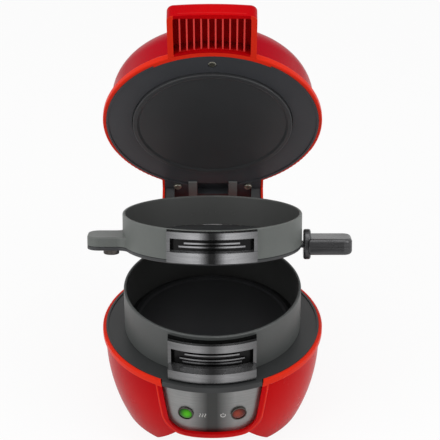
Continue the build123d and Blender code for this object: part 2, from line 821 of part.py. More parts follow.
lamp_tail = lens_length + 4
lead_z = block_top - 7
leg_end = element_z - element_bend - leg_length - 5
blade_end = reflector_top - thermostat_height - 7
lamp_ends = [plane.offset(-lamp_tail).origin for plane in lens_planes.values()]
lead_routes = {
    "left_element": [
        (-pole_pitch, block_y + block_width / 2 + lead_end, lead_z),
        (-pole_pitch, block_y + block_width / 2 + 8, lead_z),
        (-leg_x - 1, block_y + block_width / 2 + 8, leg_end - 8),
        (-leg_x, leg_y, leg_end - 8),
        (-leg_x, leg_y, leg_end - lead_end),
    ],
    "right_element": [
        (leg_x, leg_y, leg_end - lead_end),
        (leg_x, leg_y, leg_end - 6),
        (leg_x + 6, leg_y / 2, leg_end - 8),
        (0, 5, blade_end - 8),
        (0, 5, blade_end - lead_end),
    ],
    "switched": [
        (pole_pitch, block_y - block_width / 2 - lead_end, lead_z),
        (pole_pitch, block_y - block_width / 2 - 9, lead_z),
        (6, -6, lead_z + 6),
        (0, -5, blade_end - 9),
        (0, -5, blade_end - lead_end),
    ],
    "preheat_lamp": [
        (-pole_pitch, block_y - block_width / 2 - lead_end, lead_z),
        (-pole_pitch, block_y - block_width / 2 - 10, lead_z),
        (lamp_ends[0].X, -30, lead_z + 4),
        (lamp_ends[0].X, lamp_ends[0].Y + 14, lens_height + 1),
        (lamp_ends[0].X, lamp_ends[0].Y + lead_end, lens_height + 1),
    ],
    "power_lamp": [
        (0, block_y - block_width / 2 - lead_end, lead_z),
        (0, block_y - block_width / 2 - 10, lead_z),
        (lamp_ends[1].X, -30, lead_z + 2),
        (lamp_ends[1].X, lamp_ends[1].Y + 14, lens_height + 1),
        (lamp_ends[1].X, lamp_ends[1].Y + lead_end, lens_height + 1),
    ],
}
with BuildPart() as base_wiring:
    for points in lead_routes.values():
        with BuildLine() as lead:
            FilletPolyline(*points, radius=3)
        with BuildSketch(Plane(origin=lead.line @ 0, z_dir=lead.line % 0)):
            Circle(lead_radius)
        sweep(path=lead.line)
base_wiring.part.label = "base_wiring"
export_step(base_wiring.part, "parts/base_wiring.step")

with BuildPart(gland_plane) as cord_gland:
    with Locations((0, 0, seat_gap)):
        Cylinder(gland_flange, gland_flange_height, align=(Align.CENTER, Align.CENTER, Align.MIN))
    fillet(cord_gland.edges().group_by(Axis.Y)[-1], 0.8)
    Cylinder(gland_neck, gland_neck_length - seat_gap, align=(Align.CENTER, Align.CENTER, Align.MAX))
    Cylinder(gland_neck, 1, align=(Align.CENTER, Align.CENTER, Align.MIN))
    with Locations((0, 0, gland_flange_height + seat_gap)):
        Hole(gland_bore, depth=gland_flange_height + gland_neck_length)
cord_gland.part.label = "cord_gland"
export_step(cord_gland.part, "parts/cord_gland.step")


# Screws that hold the heating plates and the lower deck ------------------------------------------

fasteners = [
    screw(Plane((x, y, reflector_top - sheet), z_dir=(0, 0, -1)), sheet + 3.8)
    for x, y in plate_screws
]
with BuildPart() as lower_plate_screws:
    add(fasteners)
lower_plate_screws.part.label = "lower_plate_screws"
export_step(lower_plate_screws.part, "parts/lower_plate_screws.step")

fasteners = [
    screw(Plane((x, y, lug_top - lug_thickness), z_dir=(0, 0, -1)), lug_thickness + 4)
    for x, y in deck_screws
]
with BuildPart() as lower_deck_screws:
    add(fasteners)
lower_deck_screws.part.label = "lower_deck_screws"
export_step(lower_deck_screws.part, "parts/lower_deck_screws.step")


# Hinge -------------------------------------------------------------------------------------------

post_foot_thickness = 3.0

with BuildPart() as right_hinge_post:
    leaf(
        post_x, leaf_post, post_radius,
        (hinge_y - post_radius, column_top + seat_gap),
        (hinge_y + post_radius, column_top + seat_gap),
        (hinge_y + post_radius, hinge_z),
        (hinge_y - post_radius, hinge_z),
    )
    with BuildSketch(Plane.XY.offset(column_top + seat_gap)):
        with Locations(((post_x + post_foot_end) / 2, hinge_y)):
            Rectangle(post_foot_end - post_x, 2 * post_radius)
    extrude(amount=post_foot_thickness)
    fillet(right_hinge_post.edges().filter_by(Axis.Z).sort_by(Axis.X)[-2:], 2)
    pin_hole(post_x, leaf_post)
    with Locations(*[(x, y, column_top + 5) for x, y in post_screws if x > 0]):
        Hole(screw_hole, depth=6)
right_hinge_post.part.label = "right_hinge_post"
export_step(right_hinge_post.part, "parts/right_hinge_post.step")

with BuildPart() as left_hinge_post:
    mirror(right_hinge_post.part, about=Plane.YZ)
left_hinge_post.part.label = "left_hinge_post"
export_step(left_hinge_post.part, "parts/left_hinge_post.step")

fasteners = [
    screw(Plane((x, y, column_top + seat_gap + post_foot_thickness)), post_screw_length)
    for x, y in post_screws
]
with BuildPart() as hinge_post_screws:
    add(fasteners)
hinge_post_screws.part.label = "hinge_post_screws"
export_step(hinge_post_screws.part, "parts/hinge_post_screws.step")

with BuildPart() as hinge_pin:
    with BuildSketch(Plane.YZ.offset(-pin_half_length)):
        with Locations((hinge_y, hinge_z)):
            Circle(pin_radius)
    extrude(amount=2 * pin_half_length)
    chamfer(hinge_pin.edges().filter_by(GeomType.CIRCLE), 0.4)
hinge_pin.part.label = "hinge_pin"
export_step(hinge_pin.part, "parts/hinge_pin.step")


# Rings -------------------------------------------------------------------------------------------

arm_pad_thickness = 3.0
arm_pad_reach = 6.0
arm_rivet_offset = 3.2
arm_inset = 5.0
grip_rivet_x = 20.0
rib_depth = 1.0
rib_height = 1.1


def ring_arm(first, thickness, low, high, slab_low, slab_high):
    """one arm of a ring: a pad against the ring's wall, and a slab back to its eye on the pin"""
    face = ring_radius + seat_gap
    with BuildPart() as arm:
        leaf(
            first, thickness, arm_eye_radius,
            (ring_radius - arm_inset, slab_low),
            (ring_radius - arm_inset, slab_high),
            (hinge_y - 2, hinge_z + arm_eye_radius - 0.5),
            (hinge_y + 2, hinge_z - arm_eye_radius + 0.5),
            (hinge_y - 2, hinge_z - arm_eye_radius + 0.5),
        )
        with BuildSketch(Plane.XY.offset(low)):
            Circle(face + arm_pad_thickness)
            with Locations((first + thickness / 2, ring_radius)):
                Rectangle(thickness + 2 * arm_pad_reach, ring_radius, mode=Mode.INTERSECT)
        extrude(amount=high - low)
        with BuildSketch(Plane.XY.offset(low - 10)):
            Circle(face)
        extrude(amount=high - low + 40, mode=Mode.SUBTRACT)
        pin_hole(first, thickness)
        with Locations(*arm_rivet_planes(first, thickness, (low + high) / 2)):
            Hole(rivet_radius + bore_gap, depth=2 * arm_pad_thickness)
    return arm.part


def arm_rivet_planes(first, thickness, z):
    """where an arm's two rivets stand on the outside of its pad"""
    radius = ring_radius + seat_gap + arm_pad_thickness
    places = (first - arm_rivet_offset, first + thickness + arm_rivet_offset)
    return [facing(radius, degrees(acos(x / radius)), z) for x in places]


def ring_wall_solid(bottom, height):
    """plain cooking ring with softened rims"""
    with BuildPart() as ring:
        with BuildSketch(Plane.XY.offset(bottom)):
            Circle(ring_radius)
            Circle(ring_bore, mode=Mode.SUBTRACT)
        extrude(amount=height)
        fillet(ring.edges().group_by(Axis.Z)[-1], 0.8)
    return ring.part


def front_grip(low, high, bottom, top, ribs):
    """front grip of a ring between two heights: flanges at the bottom and the top, each with its
    reach and thickness, end cheeks, and short ribs (height, half width) in the recess"""
    inside = ring_radius + seat_gap
    body = ring_radius + grip_body
    bottom_reach, bottom_lip = bottom
    top_reach, top_lip = top
    section = [
        (inside, low),
        (bottom_reach, low),
        (bottom_reach, low + bottom_lip),
        (body, low + bottom_lip + 1),
        (body, high - top_lip - 1),
        (top_reach, high - top_lip),
        (top_reach, high),
        (inside, high),
    ]
    cheek = [(inside, low), (top_reach, low), (top_reach, high), (inside, high)]
    with BuildPart() as grip:
        add(sector(section, grip_half_width))
        add(sector(cheek, grip_half_width, grip_half_width - grip_cheek))
        for z, half_width in ribs:
            reach = body + rib_depth
            rib = [(inside, z), (reach, z), (reach, z + rib_height), (inside, z + rib_height)]
            add(sector(rib, half_width))
    return grip.part


lower_arm_z = (lower_ring_top - 24, lower_ring_top - 3)
upper_arm_z = (upper_ring_bottom + 1.2, upper_ring_bottom + 16)
lower_grip_z = (lower_ring_bottom + 1.2, lower_ring_top - 2.8)
upper_grip_z = (upper_ring_bottom + running_gap, upper_ring_top - 0.4)

with BuildPart() as right_lower_arm:
    add(ring_arm(lower_arm_x, leaf_lower_arm, *lower_arm_z, lower_ring_top - 21, lower_ring_top - 5))
right_lower_arm.part.label = "right_lower_arm"
export_step(right_lower_arm.part, "parts/right_lower_arm.step")

with BuildPart() as left_lower_arm:
    mirror(right_lower_arm.part, about=Plane.YZ)
left_lower_arm.part.label = "left_lower_arm"
export_step(left_lower_arm.part, "parts/left_lower_arm.step")

with BuildPart() as right_upper_arm:
    add(ring_arm(upper_arm_x, leaf_upper_arm, *upper_arm_z,
                 upper_ring_bottom + 3, upper_ring_bottom + 14))
right_upper_arm.part = right_upper_arm.part.moved(upper_open)
right_upper_arm.part.label = "right_upper_arm"
export_step(right_upper_arm.part, "parts/right_upper_arm.step")

with BuildPart() as left_upper_arm:
    mirror(right_upper_arm.part, about=Plane.YZ)
left_upper_arm.part.label = "left_upper_arm"
export_step(left_upper_arm.part, "parts/left_upper_arm.step")

lower_arm_rivets = arm_rivet_planes(lower_arm_x, leaf_lower_arm, sum(lower_arm_z) / 2)
upper_arm_rivets = arm_rivet_planes(upper_arm_x, leaf_upper_arm, sum(upper_arm_z) / 2)
grip_rivet_angle = degrees(asin(grip_rivet_x / ring_bore))
lower_grip_rivets = [facing(ring_bore, -90 + turn * grip_rivet_angle, sum(lower_grip_z) / 2)
                     for turn in (-1, 1)]
upper_grip_rivets = [facing(ring_bore, -90 + turn * grip_rivet_angle, sum(upper_grip_z) / 2)
                     for turn in (-1, 1)]
arm_rivet_length = arm_pad_thickness + seat_gap + ring_wall
grip_rivet_length = ring_wall + grip_body - 1


def rivet_set(arm_planes, grip_planes):
    """rivets of one ring: domed ones through the arms on both sides, flush ones into the grip"""
    domed = [rivet(plane, arm_rivet_length) for plane in arm_planes]
    with BuildPart() as rivets:
        add(domed)
        mirror(about=Plane.YZ)
        with Locations(*grip_planes):
            Cylinder(rivet_radius, grip_rivet_length, align=(Align.CENTER, Align.CENTER, Align.MIN))
    return rivets.part


def rivet_holes(arm_planes, grip_planes):
    """the holes in a ring's wall for its rivets"""
    with BuildPart() as holes:
        with Locations(*arm_planes):
            Cylinder(rivet_radius + bore_gap, 4 * arm_pad_thickness)
        mirror(about=Plane.YZ)
        with Locations(*grip_planes):
            Cylinder(rivet_radius + bore_gap, 2 * grip_rivet_length)
    return holes.part


lower_blank = ring_wall_solid(lower_ring_bottom, lower_ring_height)
lower_holes = rivet_holes(lower_arm_rivets, lower_grip_rivets)
with BuildPart() as lower_ring:
    add(lower_blank)
    add(lower_holes, mode=Mode.SUBTRACT)
lower_ring.part.label = "lower_ring"
export_step(lower_ring.part, "parts/lower_ring.step")

lower_rivets = rivet_set(lower_arm_rivets, lower_grip_rivets)
with BuildPart() as lower_ring_rivets:
    add(lower_rivets)
lower_ring_rivets.part.label = "lower_ring_rivets"
export_step(lower_ring_rivets.part, "parts/lower_ring_rivets.step")

lower_grip_blank = front_grip(
    *lower_grip_z,
    bottom=(lower_flange_reach, 7.5),
    top=(upper_flange_reach, 6.0),
    ribs=[(lower_grip_z[1] - step, width) for step, width in ((10.2, 18.5), (14.0, 22.0), (16.4, 20.0))],
)
with BuildPart() as lower_ring_grip:
    add(lower_grip_blank)
    add(lower_holes, mode=Mode.SUBTRACT)
lower_ring_grip.part.label = "lower_ring_grip"
export_step(lower_ring_grip.part, "parts/lower_ring_grip.step")

upper_blank = ring_wall_solid(upper_ring_bottom, upper_ring_height)
upper_holes = rivet_holes(upper_arm_rivets, upper_grip_rivets)
with BuildPart() as upper_ring:
    with BuildSketch(Plane.XY.offset(upper_ring_bottom)):
        add(lobed_disc(ring_radius))
    extrude(amount=lug_height)
    fillet(upper_ring.edges().group_by(Axis.Z)[-1], 1)
    with BuildSketch(Plane.XY.offset(upper_ring_bottom)):
        Circle(ring_bore)
    extrude(amount=upper_ring_height, mode=Mode.SUBTRACT)
    add(upper_blank)
    with Locations(Location((-pivot_offset, 0, upper_ring_bottom), (180, 0, 0))):
        Hole(pivot_radius + bore_gap, depth=lug_height - 1.2)
    add(upper_holes, mode=Mode.SUBTRACT)
upper_ring.part = upper_ring.part.moved(upper_open)
upper_ring.part.label = "upper_ring"
export_step(upper_ring.part, "parts/upper_ring.step")

upper_rivets = rivet_set(upper_arm_rivets, upper_grip_rivets)
with BuildPart() as upper_ring_rivets:
    add(upper_rivets)
upper_ring_rivets.part = upper_ring_rivets.part.moved(upper_open)
upper_ring_rivets.part.label = "upper_ring_rivets"
export_step(upper_ring_rivets.part, "parts/upper_ring_rivets.step")

upper_grip_blank = front_grip(
    *upper_grip_z,
    bottom=(upper_flange_reach + 1.5, 7.0),
    top=(upper_flange_reach, 4.4),
    ribs=[(upper_grip_z[1] - step, width) for step, width in ((8.0, 18.5), (10.4, 22.0))],
)
with BuildPart() as upper_ring_grip:
    add(upper_grip_blank)
    add(upper_holes, mode=Mode.SUBTRACT)
upper_ring_grip.part = upper_ring_grip.part.moved(upper_open)
upper_ring_grip.part.label = "upper_ring_grip"
export_step(upper_ring_grip.part, "parts/upper_ring_grip.step")


# Cooking plate and its handle --------------------------------------------------------------------

split_z = (plate_bottom + plate_top) / 2
guard_x = ring_radius + side_gap
grip_x = guard_x + guard_thickness
grip_end = grip_x + plate_grip_length
tang_half_width = 6.5
tang_end = grip_end - 5
handle_screws = [(grip_x + 7, 0), (grip_end - 10, 0)]
pivot_head = 5.5

with BuildPart() as pivot_pin:
    with BuildSketch(Plane.XY.offset(plate_bottom - running_gap)):
        with Locations((-pivot_offset, 0)):
            Circle(pivot_head)
    extrude(amount=-pivot_nut_height)
    fillet(pivot_pin.edges().group_by(Axis.Z)[0], 1)
    with BuildSketch(Plane.XY.offset(plate_bottom - running_gap)):
        with Locations((-pivot_offset, 0)):
            Circle(pivot_radius)
    extrude(amount=plate_thickness + 2 * running_gap + lug_height - 1.2 - seat_gap)
pivot_pin.part = pivot_pin.part.moved(upper_open)
pivot_pin.part.label = "pivot_pin"
export_step(pivot_pin.part, "parts/pivot_pin.step")

with BuildPart() as cooking_plate:
    with BuildSketch(Plane.XY.offset(plate_bottom)):
        add(lobed_disc(plate_radius))
        Rectangle(tang_end, 2 * tang_half_width, align=(Align.MIN, Align.CENTER))
    extrude(amount=plate_thickness)
    fillet(cooking_plate.edges().group_by(Axis.Z)[0], 0.6)
    fillet(cooking_plate.edges().group_by(Axis.Z)[-1], 0.6)
    with Locations((-pivot_offset, 0, plate_top)):
        Hole(pivot_radius + bore_gap, depth=plate_thickness)
    with Locations(*at_height(handle_screws, plate_top)):
        Hole(screw_hole, depth=plate_thickness)
cooking_plate.part = cooking_plate.part.moved(upper_open)
cooking_plate.part.label = "cooking_plate"
export_step(cooking_plate.part, "parts/cooking_plate.step")

with BuildPart() as grip_half:
    with BuildSketch(Plane.XY.offset(split_z + seat_gap / 2)) as plan:
        with Locations(((grip_x + grip_end) / 2 - 1, 0)):
            Rectangle(plate_grip_length + 2, 2 * plate_grip_half_width)
        fillet(plan.vertices().group_by(Axis.X)[-1], 6)
    extrude(amount=(plate_grip_thickness - seat_gap) / 2)
    fillet(grip_half.edges().group_by(Axis.Z)[-1], 2.6)
    with BuildSketch(Plane.YZ.offset(guard_x)):
        with Locations((0, split_z)):
            Ellipse(guard_half_width, guard_half_height)
    extrude(amount=guard_thickness)
    guard_edges = grip_half.edges().filter_by(GeomType.ELLIPSE)
    fillet(guard_edges, 1.4)
    with BuildSketch(Plane.XY.offset(split_z + seat_gap / 2)):
        with Locations((grip_x, 0)):
            Rectangle(2 * plate_grip_length, 4 * plate_grip_half_width)
    extrude(amount=-2 * guard_half_height, mode=Mode.SUBTRACT)
    with BuildSketch(Plane.XY.offset(split_z)):
        with Locations((grip_x, 0)):
            Rectangle(2 * (tang_end - grip_x + seat_gap), 2 * (tang_half_width + seat_gap))
    extrude(amount=plate_thickness / 2 + seat_gap, mode=Mode.SUBTRACT)

with BuildPart() as plate_grip_upper:
    add(grip_half.part)
    with Locations(*[Location((x, y, split_z), (180, 0, 0)) for x, y in handle_screws]):
        Hole(screw_radius + bore_gap, depth=4)
plate_grip_upper.part = plate_grip_upper.part.moved(upper_open)
plate_grip_upper.part.label = "plate_grip_upper"
export_step(plate_grip_upper.part, "parts/plate_grip_upper.step")

grip_bottom = split_z - plate_grip_thickness / 2
screw_seat = grip_bottom + screw_head_height + 0.4
with BuildPart() as plate_grip_lower:
    mirror(grip_half.part, about=Plane.XY.offset(split_z))
    with Locations(*[Location((x, y, grip_bottom), (180, 0, 0)) for x, y in handle_screws]):
        CounterBoreHole(screw_hole, screw_head_radius + 0.3, screw_seat - grip_bottom)
plate_grip_lower.part = plate_grip_lower.part.moved(upper_open)
plate_grip_lower.part.label = "plate_grip_lower"
export_step(plate_grip_lower.part, "parts/plate_grip_lower.step")

fasteners = [
    screw(Plane((x, y, screw_seat), z_dir=(0, 0, -1)), split_z + 3.5 - screw_seat)
    for x, y in handle_screws
]
with BuildPart() as plate_grip_screws:
    add(fasteners)
plate_grip_screws.part = plate_grip_screws.part.moved(upper_open)
plate_grip_screws.part.label = "plate_grip_screws"
export_step(plate_grip_screws.part, "parts/plate_grip_screws.step")


# Lid ---------------------------------------------------------------------------------------------

deck_top = lid_bottom + deck_thickness
hood_front = hinge_y - 35
hood_height = 12.5
hood_top = lid_bottom + hood_height
hood_bevel = 5.0
hood_round = 0.9
hood_roof = 2.0
hood_ceiling = hood_top - hood_roof
hood_inside = hood_half_width - cheek
rear_inside = hinge_y + hood_back - cheek
rear_wall_drop = 8.3        # of the hood's back below the lid's rim
rear_wall_bottom = lid_bottom - rear_wall_drop
front_screw_inset = 10.1    # from the deck's edge
rear_screw_x = 26.0
rear_screw_y = hinge_y - 10.5
front_screw = (0, front_screw_inset - deck_radius)
rear_screws = [(rear_screw_x, rear_screw_y), (-rear_screw_x, rear_screw_y)]
bracket_foot_top = deck_top + seat_gap + 3.1
bracket_front = rear_screw_y - 5
bracket_foot_depth = 10.0
tab_half_width = hood_inside - 0.2
tab_front = hinge_y - 19
tab_back = hinge_y + 6
tab_notch = hinge_y - 7.5
tab_neck_half_width = ear_x - running_gap
lid_cable_width = 12.0      # of the notch for the leads
pocket_front = hinge_y - 16
pocket_back = hinge_y + 1.5
pocket_half_width = 18.6
pocket_depth = 6.8
pocket_top = lid_bottom + pocket_depth
pocket_floor = pocket_top - 1.5
pocket_mouth = 22.6
bar_x = 14.8                # of the raised bars beside the pocket
bar_width = 6.4
bar_height = 1.2
front_boss = 4.0
rear_boss = 3.5
root_radius = lid_side_radius + seat_gap
handle_top = lid_bottom + handle_height
handle_screw_z = handle_top - 3.2
handle_screw_angle = degrees(asin(20 / lid_side_radius))
handle_screw_seat = lid_side_radius - wall - 0.7
handle_screws_facing = [facing(handle_screw_seat, -90 + side * handle_screw_angle, handle_screw_z)
                        for side in (-1, 1)]
handle_screw_length = lid_side_radius - handle_screw_seat + 5

def lid_tab_block(inner):
    """front sector of the lid's rim outside a radius, through the heating ring"""
    with BuildPart() as block:
        with BuildSketch(Plane.XY.offset(lid_bottom - 1)):
            with Locations((0, -rim_radius)):
                Rectangle(2 * lid_tab_half_width, rim_radius)
            Circle(inner, mode=Mode.SUBTRACT)
        extrude(amount=deck_thickness + seat_gap + 1)
    return block.part


with BuildPart() as upper_heat_ring:
    mirror(deck_blank.part, about=middle)
    add(lid_tab_block(deck_radius - lid_tab_depth), mode=Mode.SUBTRACT)
    with BuildSketch(Plane.XY.offset(lid_bottom)):
        with Locations((0, (tab_front + tab_back) / 2)):
            Rectangle(2 * tab_half_width, tab_back - tab_front)
        with Locations(((tab_half_width + tab_neck_half_width) / 2, (tab_notch + tab_back) / 2),
                       (-(tab_half_width + tab_neck_half_width) / 2, (tab_notch + tab_back) / 2)):
            Rectangle(tab_half_width - tab_neck_half_width, tab_back - tab_notch,
                      mode=Mode.SUBTRACT)
    extrude(amount=deck_thickness)
    with BuildSketch(Plane.XY.offset(lid_bottom)):
        with Locations((0, (pocket_front + pocket_back) / 2)):
            Rectangle(2 * pocket_half_width, pocket_back - pocket_front)
    extrude(amount=pocket_top - lid_bottom)
    with BuildSketch(Plane.XY.offset(lid_bottom - bead_height)):
        with Locations((0, (pocket_front + pocket_back) / 2)):
            Rectangle(pocket_mouth, pocket_back - pocket_front - 4)
    extrude(amount=pocket_floor - lid_bottom + bead_height, mode=Mode.SUBTRACT)
    with BuildSketch(Plane.XY.offset(lid_bottom)):
        with Locations((-bar_x, pocket_front), (bar_x, pocket_front)):
            Rectangle(bar_width, pocket_back - pocket_front, align=(Align.CENTER, Align.MIN))
    extrude(amount=-bar_height)
    with BuildSketch(Plane.XY.offset(lid_bottom)):
        with Locations((0, tab_back)):
            Rectangle(lid_cable_width, 2 * (tab_back - pocket_back - 1))
    extrude(amount=deck_thickness, mode=Mode.SUBTRACT)
    with Locations(*[Location((x, y, lid_bottom), (180, 0, 0)) for x, y in rear_screws]):
        Hole(screw_hole, depth=deck_thickness)
    with Locations(Location((*front_screw, lid_bottom), (180, 0, 0))):
        CounterBoreHole(screw_hole, screw_head_radius + 0.2, screw_head_height)
upper_heat_ring.part = upper_heat_ring.part.moved(lid_open)
upper_heat_ring.part.label = "upper_heat_ring"
export_step(upper_heat_ring.part, "parts/upper_heat_ring.step")

upper_pieces = {
    "upper_heating_plate": lower_heating_plate.part,
    "upper_heating_element": lower_heating_element.part,
    "upper_plate_screws": lower_plate_screws.part,
}
for name, twin in upper_pieces.items():
    with BuildPart() as piece:
        mirror(twin, about=middle)
    piece.part = piece.part.moved(lid_open)
    piece.part.label = name
    export_step(piece.part, f"parts/{name}.step")

with BuildPart() as right_lid_bracket:
    leaf(
        ear_x, leaf_ear, ear_radius,
        (hinge_y - ear_radius, hinge_z),
        (hinge_y + ear_radius, hinge_z),
        (rear_inside - 0.6, rear_wall_bottom - 1),
        (rear_inside - 0.6, bracket_foot_top),
        (hinge_y - ear_radius, bracket_foot_top),
    )
    with BuildSketch(Plane.XY.offset(deck_top + seat_gap)):
        with Locations((ear_x + leaf_ear, bracket_front)):
            Rectangle(ear_x + leaf_ear - rear_screw_x + screw_head_radius + 1, bracket_foot_depth,
                      align=(Align.MAX, Align.MIN))
    extrude(amount=bracket_foot_top - deck_top - seat_gap)
    fillet(right_lid_bracket.edges().filter_by(Axis.Z).group_by(Axis.X)[0], 1.5)
    pin_hole(ear_x, leaf_ear)
    with Locations((*rear_screws[0], bracket_foot_top)):
        Hole(screw_hole, depth=bracket_foot_top - deck_top)
right_lid_bracket.part = right_lid_bracket.part.moved(lid_open)
right_lid_bracket.part.label = "right_lid_bracket"
export_step(right_lid_bracket.part, "parts/right_lid_bracket.step")

with BuildPart() as left_lid_bracket:
    mirror(right_lid_bracket.part, about=Plane.YZ)
left_lid_bracket.part.label = "left_lid_bracket"
export_step(left_lid_bracket.part, "parts/left_lid_bracket.step")

with BuildPart() as hood:
    with BuildSketch(Plane.YZ):
        Polygon(
            (hood_front, lid_bottom),
            (hinge_y - hood_back, lid_bottom),
            (hinge_y - hood_back, hinge_z),
            (hinge_y + hood_back, hinge_z),
            (hinge_y + hood_back, hood_top - hood_bevel),
            (hinge_y + hood_back - hood_bevel, hood_top),
            (hood_front, hood_top),
            align=None,
        )
        with Locations((hinge_y, hinge_z)):
            Circle(hood_back)
    extrude(amount=hood_half_width, both=True)
    ends = hood.edges().group_by(Axis.X)
    upper_edges = [edge for edge in ends[0] + ends[-1] if edge.center().Z > hood_top - hood_bevel - 1]
    fillet(upper_edges, hood_round)

with BuildPart() as lid_cavity:
    with BuildSketch(Plane.XZ):
        lid_profile(wall, deck_top + seat_gap)
    revolve(axis=Axis.Z)
    with BuildSketch(Plane.XY.offset(lid_bottom - 1)):
        Circle(deck_radius + seat_gap)
    extrude(amount=deck_thickness + seat_gap + 1)
    add(lid_tab_block(deck_radius - lid_tab_depth + seat_gap), mode=Mode.SUBTRACT)
    with BuildSketch(Plane.YZ):
        Polygon(
            (hood_front, lid_bottom - 1),
            (hinge_y - hood_back - 1, lid_bottom - 1),
            (hinge_y - hood_back - 1, hinge_z - hood_back - 1),
            (hinge_y + hood_back + 1, hinge_z - hood_back - 1),
            (hinge_y + hood_back + 1, rear_wall_bottom),
            (rear_inside, rear_wall_bottom),
            (rear_inside, hood_top - hood_bevel - 0.7),
            (rear_inside - hood_bevel + 1.3, hood_ceiling),
            (hood_front, hood_ceiling),
            align=None,
        )
    extrude(amount=hood_inside, both=True)
    with BuildSketch(Plane.XY.offset(deck_top + seat_gap)):
        with Locations(front_screw):
            Circle(front_boss)
    extrude(amount=lid_height, mode=Mode.SUBTRACT)
    with BuildSketch(Plane.XY.offset(bracket_foot_top + seat_gap)):
        with Locations(*rear_screws):
            Circle(rear_boss)
    extrude(amount=lid_height, mode=Mode.SUBTRACT)

with BuildPart() as lid_shell:
    with BuildSketch(Plane.XZ) as outside:
        lid_profile(0, lid_bottom)
        with Locations((rim_radius / 2, lid_bottom + lid_skirt_height / 2)):
            Rectangle(rim_radius, lid_skirt_height)
        fillet(outside.vertices().group_by(Axis.X)[-1], 0.9)
    revolve(axis=Axis.Z)
    add(hood.part)
    add(lid_cavity.part, mode=Mode.SUBTRACT)
    with Locations(Location((*front_screw, deck_top), (180, 0, 0))):
        Hole(screw_radius + bore_gap, depth=10)
    with Locations(*[Location((x, y, bracket_foot_top), (180, 0, 0)) for x, y in rear_screws]):
        Hole(screw_radius + bore_gap, depth=hood_top - 1 - bracket_foot_top)
    with Locations(*handle_screws_facing):
        Cylinder(screw_radius + bore_gap, 4 * wall, mode=Mode.SUBTRACT)
lid_shell.part = lid_shell.part.moved(lid_open)
lid_shell.part.label = "lid_shell"
export_step(lid_shell.part, "parts/lid_shell.step")

with BuildSketch(Plane.XY.offset(lid_bottom)) as handle_recess:
    with Locations((0, -handle_reach + handle_wall)):
        Rectangle(2 * (handle_half_width - handle_wall), handle_reach, align=(Align.CENTER, Align.MIN))
    fillet(handle_recess.vertices().group_by(Axis.Y)[0], 2)
    Circle(rim_radius + handle_root, mode=Mode.SUBTRACT)

with BuildSketch(Plane.XY.offset(lid_bottom)) as handle_slots:
    add(handle_recess.sketch)
    with Locations(*[((place - (rib_count - 1) / 2) * rib_pitch, -handle_reach)
                     for place in range(rib_count)]):
        Rectangle(rib_thickness, handle_reach, align=(Align.CENTER, Align.MIN), mode=Mode.SUBTRACT)

with BuildPart() as lid_handle:
    with BuildSketch(Plane.XY.offset(lid_bottom)) as plan:
        with BuildLine():
            bow = ThreePointArc(
                (-handle_half_width, handle_bow - handle_reach),
                (0, -handle_reach),
                (handle_half_width, handle_bow - handle_reach),
            )
            Polyline(
                bow @ 1,
                (handle_half_width, -rim_radius / 2),
                (-handle_half_width, -rim_radius / 2),
                bow @ 0,
            )
        make_face()
        fillet(plan.vertices().group_by(Axis.Y)[0], 5)
    extrude(amount=handle_height)
    fillet(lid_handle.edges().group_by(Axis.Z)[-1].group_by(Axis.Y)[0], 2.5)
    with BuildSketch(Plane.XY.offset(lid_bottom - 1)):
        Circle(rim_radius + seat_gap)
    extrude(amount=lid_skirt_height + seat_gap + 1, mode=Mode.SUBTRACT)
    with BuildSketch(Plane.XY.offset(lid_bottom - 1)):
        Circle(root_radius)
    extrude(amount=2 * handle_height, mode=Mode.SUBTRACT)
    extrude(handle_recess.sketch, amount=rib_setback, mode=Mode.SUBTRACT)
    extrude(handle_slots.sketch, amount=handle_height - 2.5, mode=Mode.SUBTRACT)
    with Locations(*handle_screws_facing):
        Cylinder(screw_radius + bore_gap, 2 * handle_screw_length + 0.6, mode=Mode.SUBTRACT)
lid_handle.part = lid_handle.part.moved(lid_open)
lid_handle.part.label = "lid_handle"
export_step(lid_handle.part, "parts/lid_handle.step")

fasteners = [screw(Plane(plane.origin, z_dir=-plane.z_dir), handle_screw_length)
             for plane in handle_screws_facing]
with BuildPart() as lid_handle_screws:
    add(fasteners)
lid_handle_screws.part = lid_handle_screws.part.moved(lid_open)
lid_handle_screws.part.label = "lid_handle_screws"
export_step(lid_handle_screws.part, "parts/lid_handle_screws.step")

fasteners = [screw(Plane((*front_screw, lid_bottom + screw_head_height), z_dir=(0, 0, -1)), 10)]
fasteners += [screw(Plane((x, y, lid_bottom), z_dir=(0, 0, -1)), hood_top - 1.5 - lid_bottom)
              for x, y in rear_screws]
with BuildPart() as lid_screws:
    add(fasteners)
lid_screws.part = lid_screws.part.moved(lid_open)
lid_screws.part.label = "lid_screws"
export_step(lid_screws.part, "parts/lid_screws.step")

lid_leg_end = 2 * middle.origin.Z - leg_end
with BuildPart() as lid_wiring:
    for side in (-1, 1):
        with BuildLine() as lead:
            FilletPolyline(
                (side * leg_x, leg_y, lid_leg_end + lead_end),
                (side * leg_x, leg_y, lid_leg_end + 6),
                (side * leg_x, leg_y + 14, lid_leg_end + 4),
                (side * 4, rear_inside - 25, hood_ceiling - 1.4),
                (side * 4, rear_inside - 4, hood_ceiling - 1.4),
                (side * 4, rear_inside - 1.8, hood_ceiling - 5.2),
                (side * 4, rear_inside - 1.8, rear_wall_bottom + 2),
                radius=2,
            )
        with BuildSketch(Plane(origin=lead.line @ 0, z_dir=lead.line % 0)):
            Circle(lead_radius)
        sweep(path=lead.line)
lid_wiring.part = lid_wiring.part.moved(lid_open)
lid_wiring.part.label = "lid_wiring"
export_step(lid_wiring.part, "parts/lid_wiring.step")
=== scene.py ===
import json
import math
import bpy
from mathutils import Matrix, Vector


